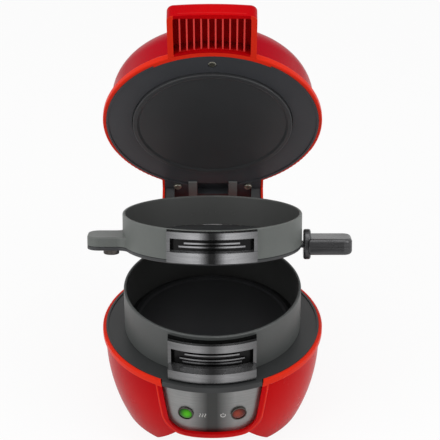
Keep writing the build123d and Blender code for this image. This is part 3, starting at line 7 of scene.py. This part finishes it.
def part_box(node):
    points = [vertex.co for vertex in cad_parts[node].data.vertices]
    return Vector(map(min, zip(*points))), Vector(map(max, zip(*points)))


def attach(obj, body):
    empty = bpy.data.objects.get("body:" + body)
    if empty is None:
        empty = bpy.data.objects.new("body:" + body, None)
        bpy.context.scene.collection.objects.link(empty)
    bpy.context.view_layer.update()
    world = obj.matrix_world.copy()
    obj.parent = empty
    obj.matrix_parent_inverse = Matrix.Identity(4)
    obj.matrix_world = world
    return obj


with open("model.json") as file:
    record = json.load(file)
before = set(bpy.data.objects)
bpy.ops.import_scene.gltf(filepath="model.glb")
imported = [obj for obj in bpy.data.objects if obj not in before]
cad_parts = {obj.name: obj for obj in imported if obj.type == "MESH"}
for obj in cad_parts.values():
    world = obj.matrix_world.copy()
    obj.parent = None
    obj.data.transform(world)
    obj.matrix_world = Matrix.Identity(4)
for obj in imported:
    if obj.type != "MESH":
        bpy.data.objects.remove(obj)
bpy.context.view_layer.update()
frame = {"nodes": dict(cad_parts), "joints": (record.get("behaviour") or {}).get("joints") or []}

nodes = frame["nodes"]
print("loaded", len(nodes), "nodes of the sandwich maker")

shot = {
    "target": (0.0053, 0.0, 0.1482),
    "distance": 1.2576,
    "elevation": 31.95,
    "lens": 150.46,
    "sensor": 36.0,
    "clip": (0.05, 50.0),
}
lights = {
    "leftPanel": {"at": (-0.8, -0.45, 0.75), "size": (0.7, 0.9), "power": 4.2},
    "rightPanel": {"at": (0.85, -0.35, 0.7), "size": (0.6, 0.9), "power": 3.4},
    "topPanel": {"at": (0.0, -0.1, 1.3), "size": (0.9, 0.7), "power": 3.6},
}
litPoint = (0, 0, 0.12)

hinge = Vector(frame["joints"][0]["pos_m"])
opening = {"upperRing": 20.3, "lid": 66.9}  # degrees that each stands open at rest


def closedPlace(part):  # turn and shift that bring a part's own coordinates back to the closed machine
    turn = math.radians(opening[part])
    return {"turn": (turn, 0, 0), "shift": hinge - Matrix.Rotation(turn, 3, "X") @ hinge}


def aim(thing, point):
    thing.rotation_euler = (Vector(point) - thing.location).to_track_quat("-Z", "Y").to_euler()


def makeCamera():
    data = bpy.data.cameras.new("camera")
    camera = bpy.data.objects.new("camera", data)
    bpy.context.scene.collection.objects.link(camera)
    lift = math.radians(shot["elevation"])
    back = Vector((0, -math.cos(lift), math.sin(lift)))
    camera.location = Vector(shot["target"]) + back * shot["distance"]
    aim(camera, shot["target"])
    data.lens = shot["lens"]
    data.sensor_width = shot["sensor"]
    data.clip_start, data.clip_end = shot["clip"]
    bpy.context.scene.camera = camera


def makeLights():
    for name, setting in lights.items():
        data = bpy.data.lights.new(name, "AREA")
        data.shape = "RECTANGLE"
        data.size, data.size_y = setting["size"]
        data.energy = setting["power"]
        lamp = bpy.data.objects.new(name, data)
        bpy.context.scene.collection.objects.link(lamp)
        lamp.location = setting["at"]
        aim(lamp, litPoint)


class Value:  # a socket that works in a Python expression
    def __init__(self, shader, socket):
        self.shader, self.socket = shader, socket

    def math(self, operation, *values):
        return self.shader.node("ShaderNodeMath", {"operation": operation}, dict(enumerate(values)))

    def __add__(self, other):
        return self.math("ADD", self, other)

    def __radd__(self, other):
        return self.math("ADD", other, self)

    def __sub__(self, other):
        return self.math("SUBTRACT", self, other)

    def __rsub__(self, other):
        return self.math("SUBTRACT", other, self)

    def __mul__(self, other):
        return self.math("MULTIPLY", self, other)

    def __rmul__(self, other):
        return self.math("MULTIPLY", other, self)


class Shader:
    def __init__(self, tree):
        self.tree = tree
        tree.nodes.clear()

    def node(self, kind, settings=None, values=None, output=0):
        made = self.tree.nodes.new(kind)
        for key, setting in (settings or {}).items():
            setattr(made, key, setting)
        for key, value in (values or {}).items():
            if isinstance(value, Value):
                self.tree.links.new(value.socket, made.inputs[key])
            else:
                made.inputs[key].default_value = value
        return Value(self, made.outputs[output]) if made.outputs else made

    # the piece's own coordinates, in metres
    def place(self, scale=(1, 1, 1), shift=(0, 0, 0), turn=(0, 0, 0)):
        spot = self.node("ShaderNodeTexCoord", output=3)
        return self.node("ShaderNodeMapping", {},
                         {"Vector": spot, "Scale": scale, "Location": shift, "Rotation": turn})

    def axis(self, letter, **where):  # one coordinate of the piece
        spot = self.place(**where)
        return self.node("ShaderNodeSeparateXYZ", {}, {"Vector": spot}, output="XYZ".index(letter))

    def size(self, value):  # a number without its sign
        return self.node("ShaderNodeMath", {"operation": "ABSOLUTE"}, {0: value})

    def atLeast(self, value, floor):
        return self.node("ShaderNodeMath", {"operation": "MAXIMUM"}, {0: value, 1: floor})

    def length(self, vector):
        return self.node("ShaderNodeVectorMath", {"operation": "LENGTH"}, {0: vector}, output=1)

    def radius(self, **where):  # distance from the machine's upright axis
        spot = self.place(**where)
        flat = self.node("ShaderNodeVectorMath", {"operation": "MULTIPLY"}, {0: spot, 1: (1, 1, 0)})
        return self.length(flat)

    def noise(self, scale, detail=2.0, rough=0.5, stretch=(1, 1, 1)):
        spot = self.place(stretch)
        return self.node("ShaderNodeTexNoise", {},
                         {"Vector": spot, "Scale": scale, "Detail": detail, "Roughness": rough})

    def band(self, value, low, high, start=0.0, end=1.0):  # a value from one range to another
        return self.node("ShaderNodeMapRange", {},
                         {"Value": value, "From Min": low, "From Max": high,
                          "To Min": start, "To Max": end})

    def fade(self, value, low, high, start=1.0):  # down to nothing over a range
        return self.band(value, low, high, start, 0.0)

    def worn(self, pattern, roughness, smoother, rougher, top=0.7):  # roughness that follows a pattern
        return self.band(pattern, 0.3, top, roughness - smoother, roughness + rougher)

    def blend(self, factor, first, second):
        return self.node("ShaderNodeMix", {"data_type": "RGBA"}, {0: factor, 6: first, 7: second}, output=2)

    def bump(self, height, strength, distance):
        return self.node("ShaderNodeBump", {},
                         {"Height": height, "Strength": strength, "Distance": distance})

    def surface(self, **values):
        sockets = {key.replace("_", " "): value for key, value in values.items()}
        skin = self.node("ShaderNodeBsdfPrincipled", {}, sockets)
        self.node("ShaderNodeOutputMaterial", {}, {"Surface": skin})


def newMaterial(name):
    material = bpy.data.materials.new(name)
    material.use_nodes = True
    return material, Shader(material.node_tree)


def rgb(r, g, b):
    return (r, g, b, 1.0)


redGloss = {
    "colour": rgb(0.6, 0.0022, 0.0035),
    "deep": rgb(0.47, 0.001, 0.005),
    # a painted highlight, on the lips of the base and lid, the window's frame and the handle's inner edges
    "edge": rgb(0.8, 0.03, 0.012),
    # a painted highlight on the tips of the ribs under the lid's handle
    "ribHighlight": rgb(0.9, 0.07, 0.06),
    # a darker red, painted as shade towards the lid's shoulder
    "shoulderShade": rgb(0.4, 0.0008, 0.014),
    "roughness": 0.24,
    "specular": 0.08,
    "sheenTint": rgb(1.0, 0.14, 0.1),
    "drift": 11.0,
    "peel": 420.0,
    "smear": 45.0,
}
ribs = {"tip": 0.1207, "halfSpan": 0.0226}  # where the ribs under the lid's handle end, lid closed
lips = {"base": 0.0582, "lid": 0.1232, "handle": 0.1189, "handleInside": 0.0257}  # heights, lid closed
shoulder = 0.03  # from the lid's lip up to its deepest red
border = {  # the frame round the front window, and the highlight painted along its rounded outer edge
    "middle": 0.01645,
    "height": 0.0338,
    "lean": 0.142,
    "radius": 0.018,
    "edge": (0.0003, 0.0009),
    "front": (-0.05, -0.045),
    "strength": 0.8,
}


def borderHighlight(s):  # painted highlight along the rounded outer edge of the frame round the front window
    foot = border["middle"] - border["lean"] * border["height"]
    across = s.size(s.axis("X")) - (s.axis("Z") * border["lean"] + foot)
    down = border["height"] - s.axis("Z")
    reach = s.node("ShaderNodeCombineXYZ", {}, {"X": s.atLeast(across, 0.0), "Z": s.atLeast(down, 0.0)})
    away = s.size(s.length(reach) - border["radius"])
    return s.fade(away, *border["edge"], border["strength"]) * s.fade(s.axis("Y"), *border["front"])


def makeRedGloss(name):
    material, s = newMaterial(name)
    drift = s.noise(redGloss["drift"])
    peel = s.noise(redGloss["peel"], 3.0)
    smear = s.noise(redGloss["smear"], 4.0, 0.6)
    colour = s.blend(s.band(drift, 0.35, 0.65), redGloss["deep"], redGloss["colour"])
    height = s.axis("Z", **closedPlace("lid"))
    if name == "baseRed":  # painted highlight: lips and the window's frame are lighter at their edges
        lipHighlight = s.band(s.axis("Z"), lips["base"] - 0.0004, lips["base"])
        colour = s.blend(s.atLeast(lipHighlight, borderHighlight(s)), colour, redGloss["edge"])
    if name == "lidRed":  # painted shade: deeper red towards the shoulder
        depth = s.band(height, lips["lid"], lips["lid"] + shoulder, 0.5, 0.9)
        colour = s.blend(depth, colour, redGloss["shoulderShade"])
        # painted highlight along the lid's lip
        colour = s.blend(s.fade(height, lips["lid"], lips["lid"] + 0.0004), colour, redGloss["edge"])
    if name == "handleRed":  # painted highlights on the inner edges of the handle's frame and on the ribs' tips
        under = s.fade(height, lips["handle"], lips["handle"] + 0.0002)
        side = s.band(s.size(s.axis("X")), lips["handleInside"], lips["handleInside"] + 0.0001)
        colour = s.blend(under * side, colour, redGloss["edge"])
        tips = s.fade(s.size(height - ribs["tip"]), 0.00004, 0.00008)
        between = s.fade(s.size(s.axis("X")), ribs["halfSpan"], ribs["halfSpan"] + 0.0001)
        colour = s.blend(tips * between, colour, redGloss["ribHighlight"])
    s.surface(Base_Color=colour,
              Roughness=s.worn(smear, redGloss["roughness"], 0.04, 0.07, 0.75),
              Specular_IOR_Level=redGloss["specular"],
              Specular_Tint=redGloss["sheenTint"],
              Normal=s.bump(peel, 0.06, 0.0002))
    return material


coatings = {
    "deckCoating": {"colour": rgb(0.03, 0.0315, 0.032), "roughness": 0.42, "specular": 0.35},
    # a lighter copy of the deck's coating: painted light that makes up for the shade on the lid's ring
    "lidCoating": {"colour": rgb(0.042, 0.044, 0.049), "roughness": 0.42, "specular": 0.35},
    # inside: painted shade on the inner wall of each ring
    "upperRingCoating": {"colour": rgb(0.113, 0.122, 0.115), "inside": rgb(0.068, 0.07, 0.068),
                         "roughness": 0.45, "specular": 0.4, "part": "upperRing"},
    # the lower ring wears a darker copy of the upper ring's coating: painted shade
    "lowerRingCoating": {"colour": rgb(0.075, 0.08, 0.078), "inside": rgb(0.042, 0.043, 0.042),
                         "roughness": 0.45, "specular": 0.4, "part": "lowerRing"},
    "plateCoating": {"colour": rgb(0.035, 0.036, 0.038), "roughness": 0.4, "specular": 0.4},
    "armCoating": {"colour": rgb(0.06, 0.062, 0.064), "roughness": 0.42, "specular": 0.4},
}
flecks = {"fine": 2600.0, "cloud": 24.0, "lighter": 1.35, "darker": 0.8}
boreEdge = 0.0603  # radius between the inside and the top edge of a ring
bars = {"middle": 0.0148, "halfWidth": 0.0032, "top": 0.1201, "colour": rgb(0.16, 0.165, 0.16)}


def makeCoating(name):
    look = coatings[name]
    material, s = newMaterial(name)
    fleck = s.noise(flecks["fine"])
    cloud = s.noise(flecks["cloud"], 3.0)
    light = rgb(*(part * flecks["lighter"] for part in look["colour"][:3]))
    dark = rgb(*(part * flecks["darker"] for part in look["colour"][:3]))
    level = s.band(fleck, 0.25, 0.8) * 0.7 + s.band(cloud, 0.3, 0.7) * 0.3
    colour = s.blend(level, dark, light)
    # painted shade: the inside of a ring is darker than its outside
    if "inside" in look:
        where = closedPlace(look["part"]) if look["part"] in opening else {}
        outside = s.band(s.radius(**where), boreEdge - 0.0002, boreEdge)
        colour = s.blend(outside, look["inside"], colour)
    if name == "lidCoating":  # the two bars beside the pocket are lighter
        away = s.size(s.size(s.axis("X")) - bars["middle"])
        onBar = s.fade(away, bars["halfWidth"] - 0.0001, bars["halfWidth"])
        low = s.fade(s.axis("Z"), bars["top"] - 0.0001, bars["top"])
        colour = s.blend(onBar * low, colour, bars["colour"])
    s.surface(Base_Color=colour,
              Roughness=s.worn(fleck, look["roughness"], 0.06, 0.08),
              Specular_IOR_Level=look["specular"],
              Normal=s.bump(fleck, 0.3, 0.0001))
    return material


grips = {
    # how strongly a painted reflection darkens each grip's middle and its ends is given per grip
    "lowerGripFace": {"colour": rgb(0.3, 0.3, 0.305), "dark": rgb(0.24, 0.24, 0.245), "metallic": 0.85,
                      "roughness": 0.24, "where": {}, "reflectionStreak": 0.6, "ends": 0.5},
    "upperGripFace": {"colour": rgb(0.42, 0.42, 0.43), "dark": rgb(0.34, 0.34, 0.35), "metallic": 0.85,
                      "roughness": 0.24, "where": closedPlace("upperRing"), "reflectionStreak": 0.9, "ends": 0.6},
    "handleFace": {"colour": rgb(0.085, 0.085, 0.088), "dark": rgb(0.05, 0.05, 0.052), "metallic": 0.6,
                   "roughness": 0.28},
}
pocket = {"wall": 0.0664, "colour": rgb(0.012, 0.012, 0.012)}  # radius and colour of the grips' pockets
gripReflection = {"core": 0.0015, "edge": 0.009, "fade": 0.014, "end": 0.029}  # widths of the bands of a painted reflection on the grips
brushing = (60, 60, 900)  # how a grip's fine lines are stretched


def makeGrip(name):
    look = grips[name]
    material, s = newMaterial(name)
    lines = s.noise(1.0, stretch=brushing)
    smear = s.noise(70.0, 4.0, 0.6)
    colour = s.blend(s.band(lines, 0.3, 0.7), look["dark"], look["colour"])
    if "where" in look:  # painted reflection: darker in the middle and at the ends; black in the pocket behind the flanges
        away = s.size(s.axis("X"))
        shade = s.fade(away, gripReflection["core"], gripReflection["edge"], look["reflectionStreak"])
        shade = shade + s.band(away, gripReflection["fade"], gripReflection["end"], 0.0, look["ends"])
        colour = s.blend(shade, colour, pocket["colour"])
        colour = s.blend(s.band(s.radius(**look["where"]), pocket["wall"], pocket["wall"] + 0.0002),
                         pocket["colour"], colour)
    s.surface(Base_Color=colour,
              Metallic=look["metallic"],
              Roughness=s.worn(smear, look["roughness"], 0.05, 0.08),
              Normal=s.bump(lines, 0.02, 0.0002))
    return material


panel = {
    "light": rgb(0.33, 0.335, 0.33),
    "dark": rgb(0.22, 0.223, 0.22),
    # a painted reflection: a dark band down the middle of the panel
    "reflectionStreak": rgb(0.035, 0.036, 0.035),
    "roughness": 0.34,
    "reflectionStreakCore": 0.003,
    "reflectionStreakEdge": 0.0155,
    "reflectionStreakStrength": 0.92,
    "brushing": (60, 60, 5200),
}


def makeBrushedPanel():
    material, s = newMaterial("brushedPanel")
    lines = s.noise(1.0, 3.0, 0.65, stretch=panel["brushing"])
    # painted reflection: a dark band down the middle of the panel
    reflectionStreak = s.fade(s.size(s.axis("X")), panel["reflectionStreakCore"], panel["reflectionStreakEdge"], panel["reflectionStreakStrength"])
    grain = s.blend(s.band(lines, 0.3, 0.7), panel["dark"], panel["light"])
    s.surface(Base_Color=s.blend(reflectionStreak, grain, panel["reflectionStreak"]),
              Metallic=0.85,
              Roughness=s.worn(lines, panel["roughness"], 0.06, 0.12),
              Normal=s.bump(lines, 0.12, 0.0002))
    return material


metals = {
    "brightSteel": {"colour": rgb(0.5, 0.5, 0.51), "dull": rgb(0.36, 0.36, 0.37), "roughness": 0.28},
    "darkSteel": {"colour": rgb(0.115, 0.105, 0.095), "dull": rgb(0.05, 0.045, 0.04), "roughness": 0.35},
    "greySteel": {"colour": rgb(0.42, 0.41, 0.35), "dull": rgb(0.26, 0.25, 0.2), "roughness": 0.32},
    "plainAluminium": {"colour": rgb(0.74, 0.74, 0.76), "dull": rgb(0.6, 0.6, 0.62), "roughness": 0.34},
    "elementSheath": {"colour": rgb(0.2, 0.19, 0.18), "dull": rgb(0.1, 0.09, 0.085), "roughness": 0.5},
    "bezelMetal": {"colour": rgb(0.1, 0.09, 0.08), "dull": rgb(0.06, 0.055, 0.05), "roughness": 0.3},
}


def makeMetal(name):
    look = metals[name]
    material, s = newMaterial(name)
    stain = s.noise(160.0, 3.0)
    scratch = s.noise(1.0, 3.0, stretch=(300, 300, 4000))
    s.surface(Base_Color=s.blend(s.band(stain, 0.35, 0.7), look["colour"], look["dull"]),
              Metallic=0.95,
              Roughness=s.worn(scratch, look["roughness"], 0.06, 0.1),
              Normal=s.bump(scratch, 0.08, 0.0001))
    return material


plains = {
    "blackRubber": {"colour": rgb(0.022, 0.022, 0.022), "worn": rgb(0.05, 0.05, 0.048), "roughness": 0.75},
    "ceramicBody": {"colour": rgb(0.7, 0.64, 0.52), "worn": rgb(0.55, 0.48, 0.36), "roughness": 0.6},
    "whiteMoulding": {"colour": rgb(0.8, 0.79, 0.75), "worn": rgb(0.68, 0.66, 0.6), "roughness": 0.35},
    "leadSleeve": {"colour": rgb(0.72, 0.69, 0.6), "worn": rgb(0.5, 0.46, 0.38), "roughness": 0.7},
    "coverBlack": {"colour": rgb(0.028, 0.028, 0.03), "worn": rgb(0.045, 0.045, 0.047), "roughness": 0.5},
    "markWhite": {"colour": rgb(0.72, 0.72, 0.7), "worn": rgb(0.55, 0.55, 0.54), "roughness": 0.5},
}


def makePlain(name):
    look = plains[name]
    material, s = newMaterial(name)
    mottle = s.noise(120.0, 4.0, 0.6)
    grain = s.noise(1800.0)
    s.surface(Base_Color=s.blend(s.band(mottle, 0.35, 0.75), look["colour"], look["worn"]),
              Roughness=s.worn(mottle, look["roughness"], 0.05, 0.08),
              Normal=s.bump(grain, 0.2, 0.0002))
    return material


lenses = {
    # each lens carries a painted highlight in its middle, in colour and in glow
    "greenLens": {"node": "preheat_lens", "rim": rgb(0.002, 0.06, 0.001), "paintedHighlight": rgb(0.06, 0.36, 0.003),
                  "highlightGlow": rgb(0.03, 0.2, 0.0), "strength": 0.5},
    "redLens": {"node": "power_lens", "rim": rgb(0.07, 0.006, 0.004), "paintedHighlight": rgb(0.26, 0.045, 0.025),
                "highlightGlow": rgb(0.1, 0.008, 0.004), "strength": 0.2},
}
lensHighlight = {"core": 0.0012, "edge": 0.0046}  # radii over which the painted highlight in a lens fades to its darker rim


def makeLens(name):
    look = lenses[name]
    low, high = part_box(look["node"])
    middle = (low + high) / 2
    material, s = newMaterial(name)
    away = s.length(s.place((1, 0, 1), (-middle.x, 0, -middle.z)))
    ripple = s.noise(700.0)
    # painted highlight: each lens is brighter in its middle, in colour and in glow
    paintedHighlight = s.fade(away, lensHighlight["core"], lensHighlight["edge"])
    s.surface(Base_Color=s.blend(paintedHighlight, look["rim"], look["paintedHighlight"]),
              Roughness=s.band(ripple, 0.3, 0.7, 0.08, 0.16),
              Specular_IOR_Level=0.2,
              Emission_Color=s.blend(paintedHighlight, rgb(0, 0, 0), look["highlightGlow"]),
              Emission_Strength=look["strength"],
              Normal=s.bump(ripple, 0.03, 0.0002))
    return material


def makeLampGlass():
    material, s = newMaterial("lampGlass")
    ripple = s.noise(500.0)
    s.surface(Base_Color=s.blend(ripple, rgb(0.85, 0.8, 0.7), rgb(0.95, 0.92, 0.85)),
              Roughness=s.band(ripple, 0.3, 0.7, 0.05, 0.12),
              Transmission_Weight=0.8)
    return material


finishes = {
    "baseRed": makeRedGloss("baseRed"),
    "lidRed": makeRedGloss("lidRed"),
    "handleRed": makeRedGloss("handleRed"),
    "brushedPanel": makeBrushedPanel(),
    "lampGlass": makeLampGlass(),
}
finishes.update({name: makeCoating(name) for name in coatings})
finishes.update({name: makeGrip(name) for name in grips})
finishes.update({name: makeMetal(name) for name in metals})
finishes.update({name: makePlain(name) for name in plains})
finishes.update({name: makeLens(name) for name in lenses})

wears = {
    "baseRed": ["base_shell"],
    "lidRed": ["lid_shell"],
    "handleRed": ["lid_handle"],
    "deckCoating": ["lower_heat_ring"],
    "lidCoating": ["upper_heat_ring"],
    "lowerRingCoating": ["lower_ring", "lower_ring_rivets"],
    "upperRingCoating": ["upper_ring", "upper_ring_rivets"],
    "plateCoating": ["lower_heating_plate", "upper_heating_plate", "cooking_plate"],
    "armCoating": ["right_hinge_post", "left_hinge_post", "right_lid_bracket", "left_lid_bracket",
                   "right_lower_arm", "left_lower_arm", "right_upper_arm", "left_upper_arm"],
    "lowerGripFace": ["lower_ring_grip"],
    "upperGripFace": ["upper_ring_grip"],
    "handleFace": ["plate_grip_upper", "plate_grip_lower"],
    "coverBlack": ["bottom_cover"],
    "brushedPanel": ["front_panel"],
    "bezelMetal": ["lens_bezels"],
    "darkSteel": ["pivot_pin", "plate_grip_screws"],
    "greySteel": ["lid_screws"],
    "greenLens": ["preheat_lens"],
    "redLens": ["power_lens"],
    "lampGlass": ["indicator_lamps"],
    "elementSheath": ["lower_heating_element", "upper_heating_element"],
    "plainAluminium": ["lower_reflector", "upper_reflector"],
    "ceramicBody": ["thermostat", "thermal_fuse"],
    "whiteMoulding": ["terminal_block"],
    "leadSleeve": ["base_wiring", "lid_wiring"],
    "blackRubber": ["rubber_feet", "cord_gland"],
}


def dressNodes():
    chosen = {name: finish for finish, names in wears.items() for name in names}
    for name, node in nodes.items():
        node.data.materials.clear()
        node.data.materials.append(finishes[chosen.get(name, "brightSteel")])


marks = {
    "preheatMark": {"x": -0.0066, "width": 0.00045, "height": 0.0034, "pitch": 0.0018, "sway": 0.0004,
                    "count": 3, "steps": 16},
    "powerMark": {"x": 0.0074, "radius": 0.0018, "stroke": 0.00042, "gap": 42.0, "bar": 0.0018,
                  "rise": 0.75, "corners": 60, "steps": 4},
    "y": -0.1,
    "z": 0.0366,
    "ink": 0.00006,
}


def startMark(name):  # an empty mesh in edit mode, in front of the panel
    bpy.ops.object.select_all(action="DESELECT")
    bpy.ops.mesh.primitive_plane_add(size=0.001, location=(0, 0, 0))
    mark = bpy.context.active_object
    mark.name = name
    bpy.ops.object.mode_set(mode="EDIT")
    bpy.ops.mesh.select_all(action="SELECT")
    bpy.ops.mesh.delete(type="VERT")
    return mark


def addStroke(x, z, width, height, steps):  # an upright strip, in edit mode
    middle = (x, marks["y"], z)
    bpy.ops.mesh.primitive_grid_add(x_subdivisions=2, y_subdivisions=steps, size=height, location=middle,
                                    rotation=(math.pi / 2, 0, 0))
    bpy.ops.transform.resize(value=(width / height, 1, 1), center_override=middle)


def inkOnPanel(mark):  # lays the flat shape on the front panel and gives it its thickness
    wrap = mark.modifiers.new("lay", "SHRINKWRAP")
    wrap.target = nodes["front_panel"]
    wrap.wrap_method = "PROJECT"
    wrap.use_project_x = wrap.use_project_z = False
    wrap.use_project_y = True
    wrap.use_positive_direction = True
    wrap.offset = marks["ink"]
    bpy.ops.object.modifier_apply(modifier=wrap.name)
    depth = mark.modifiers.new("ink", "SOLIDIFY")
    depth.thickness = marks["ink"]
    bpy.ops.object.modifier_apply(modifier=depth.name)
    bpy.ops.object.mode_set(mode="EDIT")
    bpy.ops.mesh.select_all(action="SELECT")
    bpy.ops.mesh.normals_make_consistent(inside=False)
    bpy.ops.object.mode_set(mode="OBJECT")
    mark.data.materials.append(finishes["markWhite"])
    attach(mark, "base")


def makePreheatMark():  # three rising waves of heat
    look = marks["preheatMark"]
    mark = startMark("preheatMark")
    for place in range(look["count"]):
        x = look["x"] + (place - (look["count"] - 1) / 2) * look["pitch"]
        addStroke(x, marks["z"], look["width"], look["height"], look["steps"])
    bpy.ops.object.mode_set(mode="OBJECT")
    for corner in mark.data.vertices:
        corner.co.x += look["sway"] * math.sin((corner.co.z - marks["z"]) / look["height"] * 2 * math.pi)
    inkOnPanel(mark)


def makePowerMark():  # a broken ring with a bar in its gap
    look = marks["powerMark"]
    mark = startMark("powerMark")
    middle = Vector((look["x"], marks["y"], marks["z"]))
    bpy.ops.mesh.primitive_circle_add(vertices=look["corners"], radius=look["radius"], fill_type="NOTHING",
                                      location=middle, rotation=(math.pi / 2, 0, 0))
    bpy.ops.mesh.extrude_edges_move()
    inner = (look["radius"] - look["stroke"]) / look["radius"]
    bpy.ops.transform.resize(value=(inner, inner, inner), center_override=middle)
    bpy.ops.object.mode_set(mode="OBJECT")
    for face in mark.data.polygons:
        spoke = face.center - middle
        face.select = math.degrees(abs(math.atan2(spoke.x, spoke.z))) < look["gap"]
    bpy.ops.object.mode_set(mode="EDIT")
    bpy.ops.mesh.select_mode(type="FACE")
    bpy.ops.mesh.delete(type="FACE")
    barMiddle = marks["z"] + look["radius"] * look["rise"]
    addStroke(look["x"], barMiddle, look["stroke"], look["bar"], look["steps"])
    bpy.ops.object.mode_set(mode="OBJECT")
    inkOnPanel(mark)


room = {
    "floorSize": 12.0,
    "floorHeight": -0.0004,
    "floorTone": rgb(0.92, 0.92, 0.92),
    "floorGlow": 0.9,
    "mirrored": 0.4,
    "fill": 0.46,
}


def makeRoom():
    bpy.ops.object.select_all(action="DESELECT")
    bpy.ops.mesh.primitive_plane_add(size=room["floorSize"], location=(0, 0, room["floorHeight"]))
    floor = bpy.context.active_object
    floor.name = "floor"
    material, s = newMaterial("paleFloor")
    soft = s.node("ShaderNodeBsdfDiffuse", {}, {"Color": room["floorTone"]})
    bright = s.node("ShaderNodeEmission", {}, {"Color": rgb(1, 1, 1), "Strength": 1.0})
    path = s.node("ShaderNodeLightPath")
    seen = path + Value(s, path.socket.node.outputs["Is Glossy Ray"]) * room["mirrored"]
    mixed = s.node("ShaderNodeMixShader", {}, {0: seen * room["floorGlow"], 1: soft, 2: bright})
    s.node("ShaderNodeOutputMaterial", {}, {"Surface": mixed})
    floor.data.materials.append(material)
    world = bpy.data.worlds.new("room")
    world.use_nodes = True
    bpy.context.scene.world = world
    w = Shader(world.node_tree)
    path = w.node("ShaderNodeLightPath")
    shine = Value(w, path.socket.node.outputs["Is Glossy Ray"])
    clear = Value(w, path.socket.node.outputs["Is Transmission Ray"])
    level = w.band(path + shine + clear, 0.0, 1.0, room["fill"], 1.0)
    sky = w.node("ShaderNodeBackground", {}, {"Color": rgb(1, 1, 1), "Strength": level})
    w.node("ShaderNodeOutputWorld", {}, {"Surface": sky})


flag = {"width": 0.42, "height": 1.5, "distance": 1.45, "tone": rgb(0.02, 0.02, 0.02)}


def makeFlag():  # a dark card behind the camera, which polished faces reflect
    bpy.ops.object.select_all(action="DESELECT")
    bpy.ops.mesh.primitive_plane_add(size=1.0, location=(0, -flag["distance"], flag["height"] / 2),
                                     rotation=(math.pi / 2, 0, 0))
    card = bpy.context.active_object
    card.name = "darkCard"
    card.scale = (flag["width"], flag["height"], 1)
    material, s = newMaterial("darkCard")
    felt = s.node("ShaderNodeBsdfDiffuse", {}, {"Color": flag["tone"]})
    gone = s.node("ShaderNodeBsdfTransparent")
    path = s.node("ShaderNodeLightPath")
    mixed = s.node("ShaderNodeMixShader", {}, {0: path, 1: felt, 2: gone})
    s.node("ShaderNodeOutputMaterial", {}, {"Surface": mixed})
    card.data.materials.append(material)


makeCamera()
makeLights()
makeRoom()
makeFlag()
print("camera, lights and floor are in place")
dressNodes()
print("finishes are on the nodes")
makePreheatMark()
makePowerMark()
print("marks are on the front panel")

bpy.context.scene.view_settings.view_transform = "Standard"
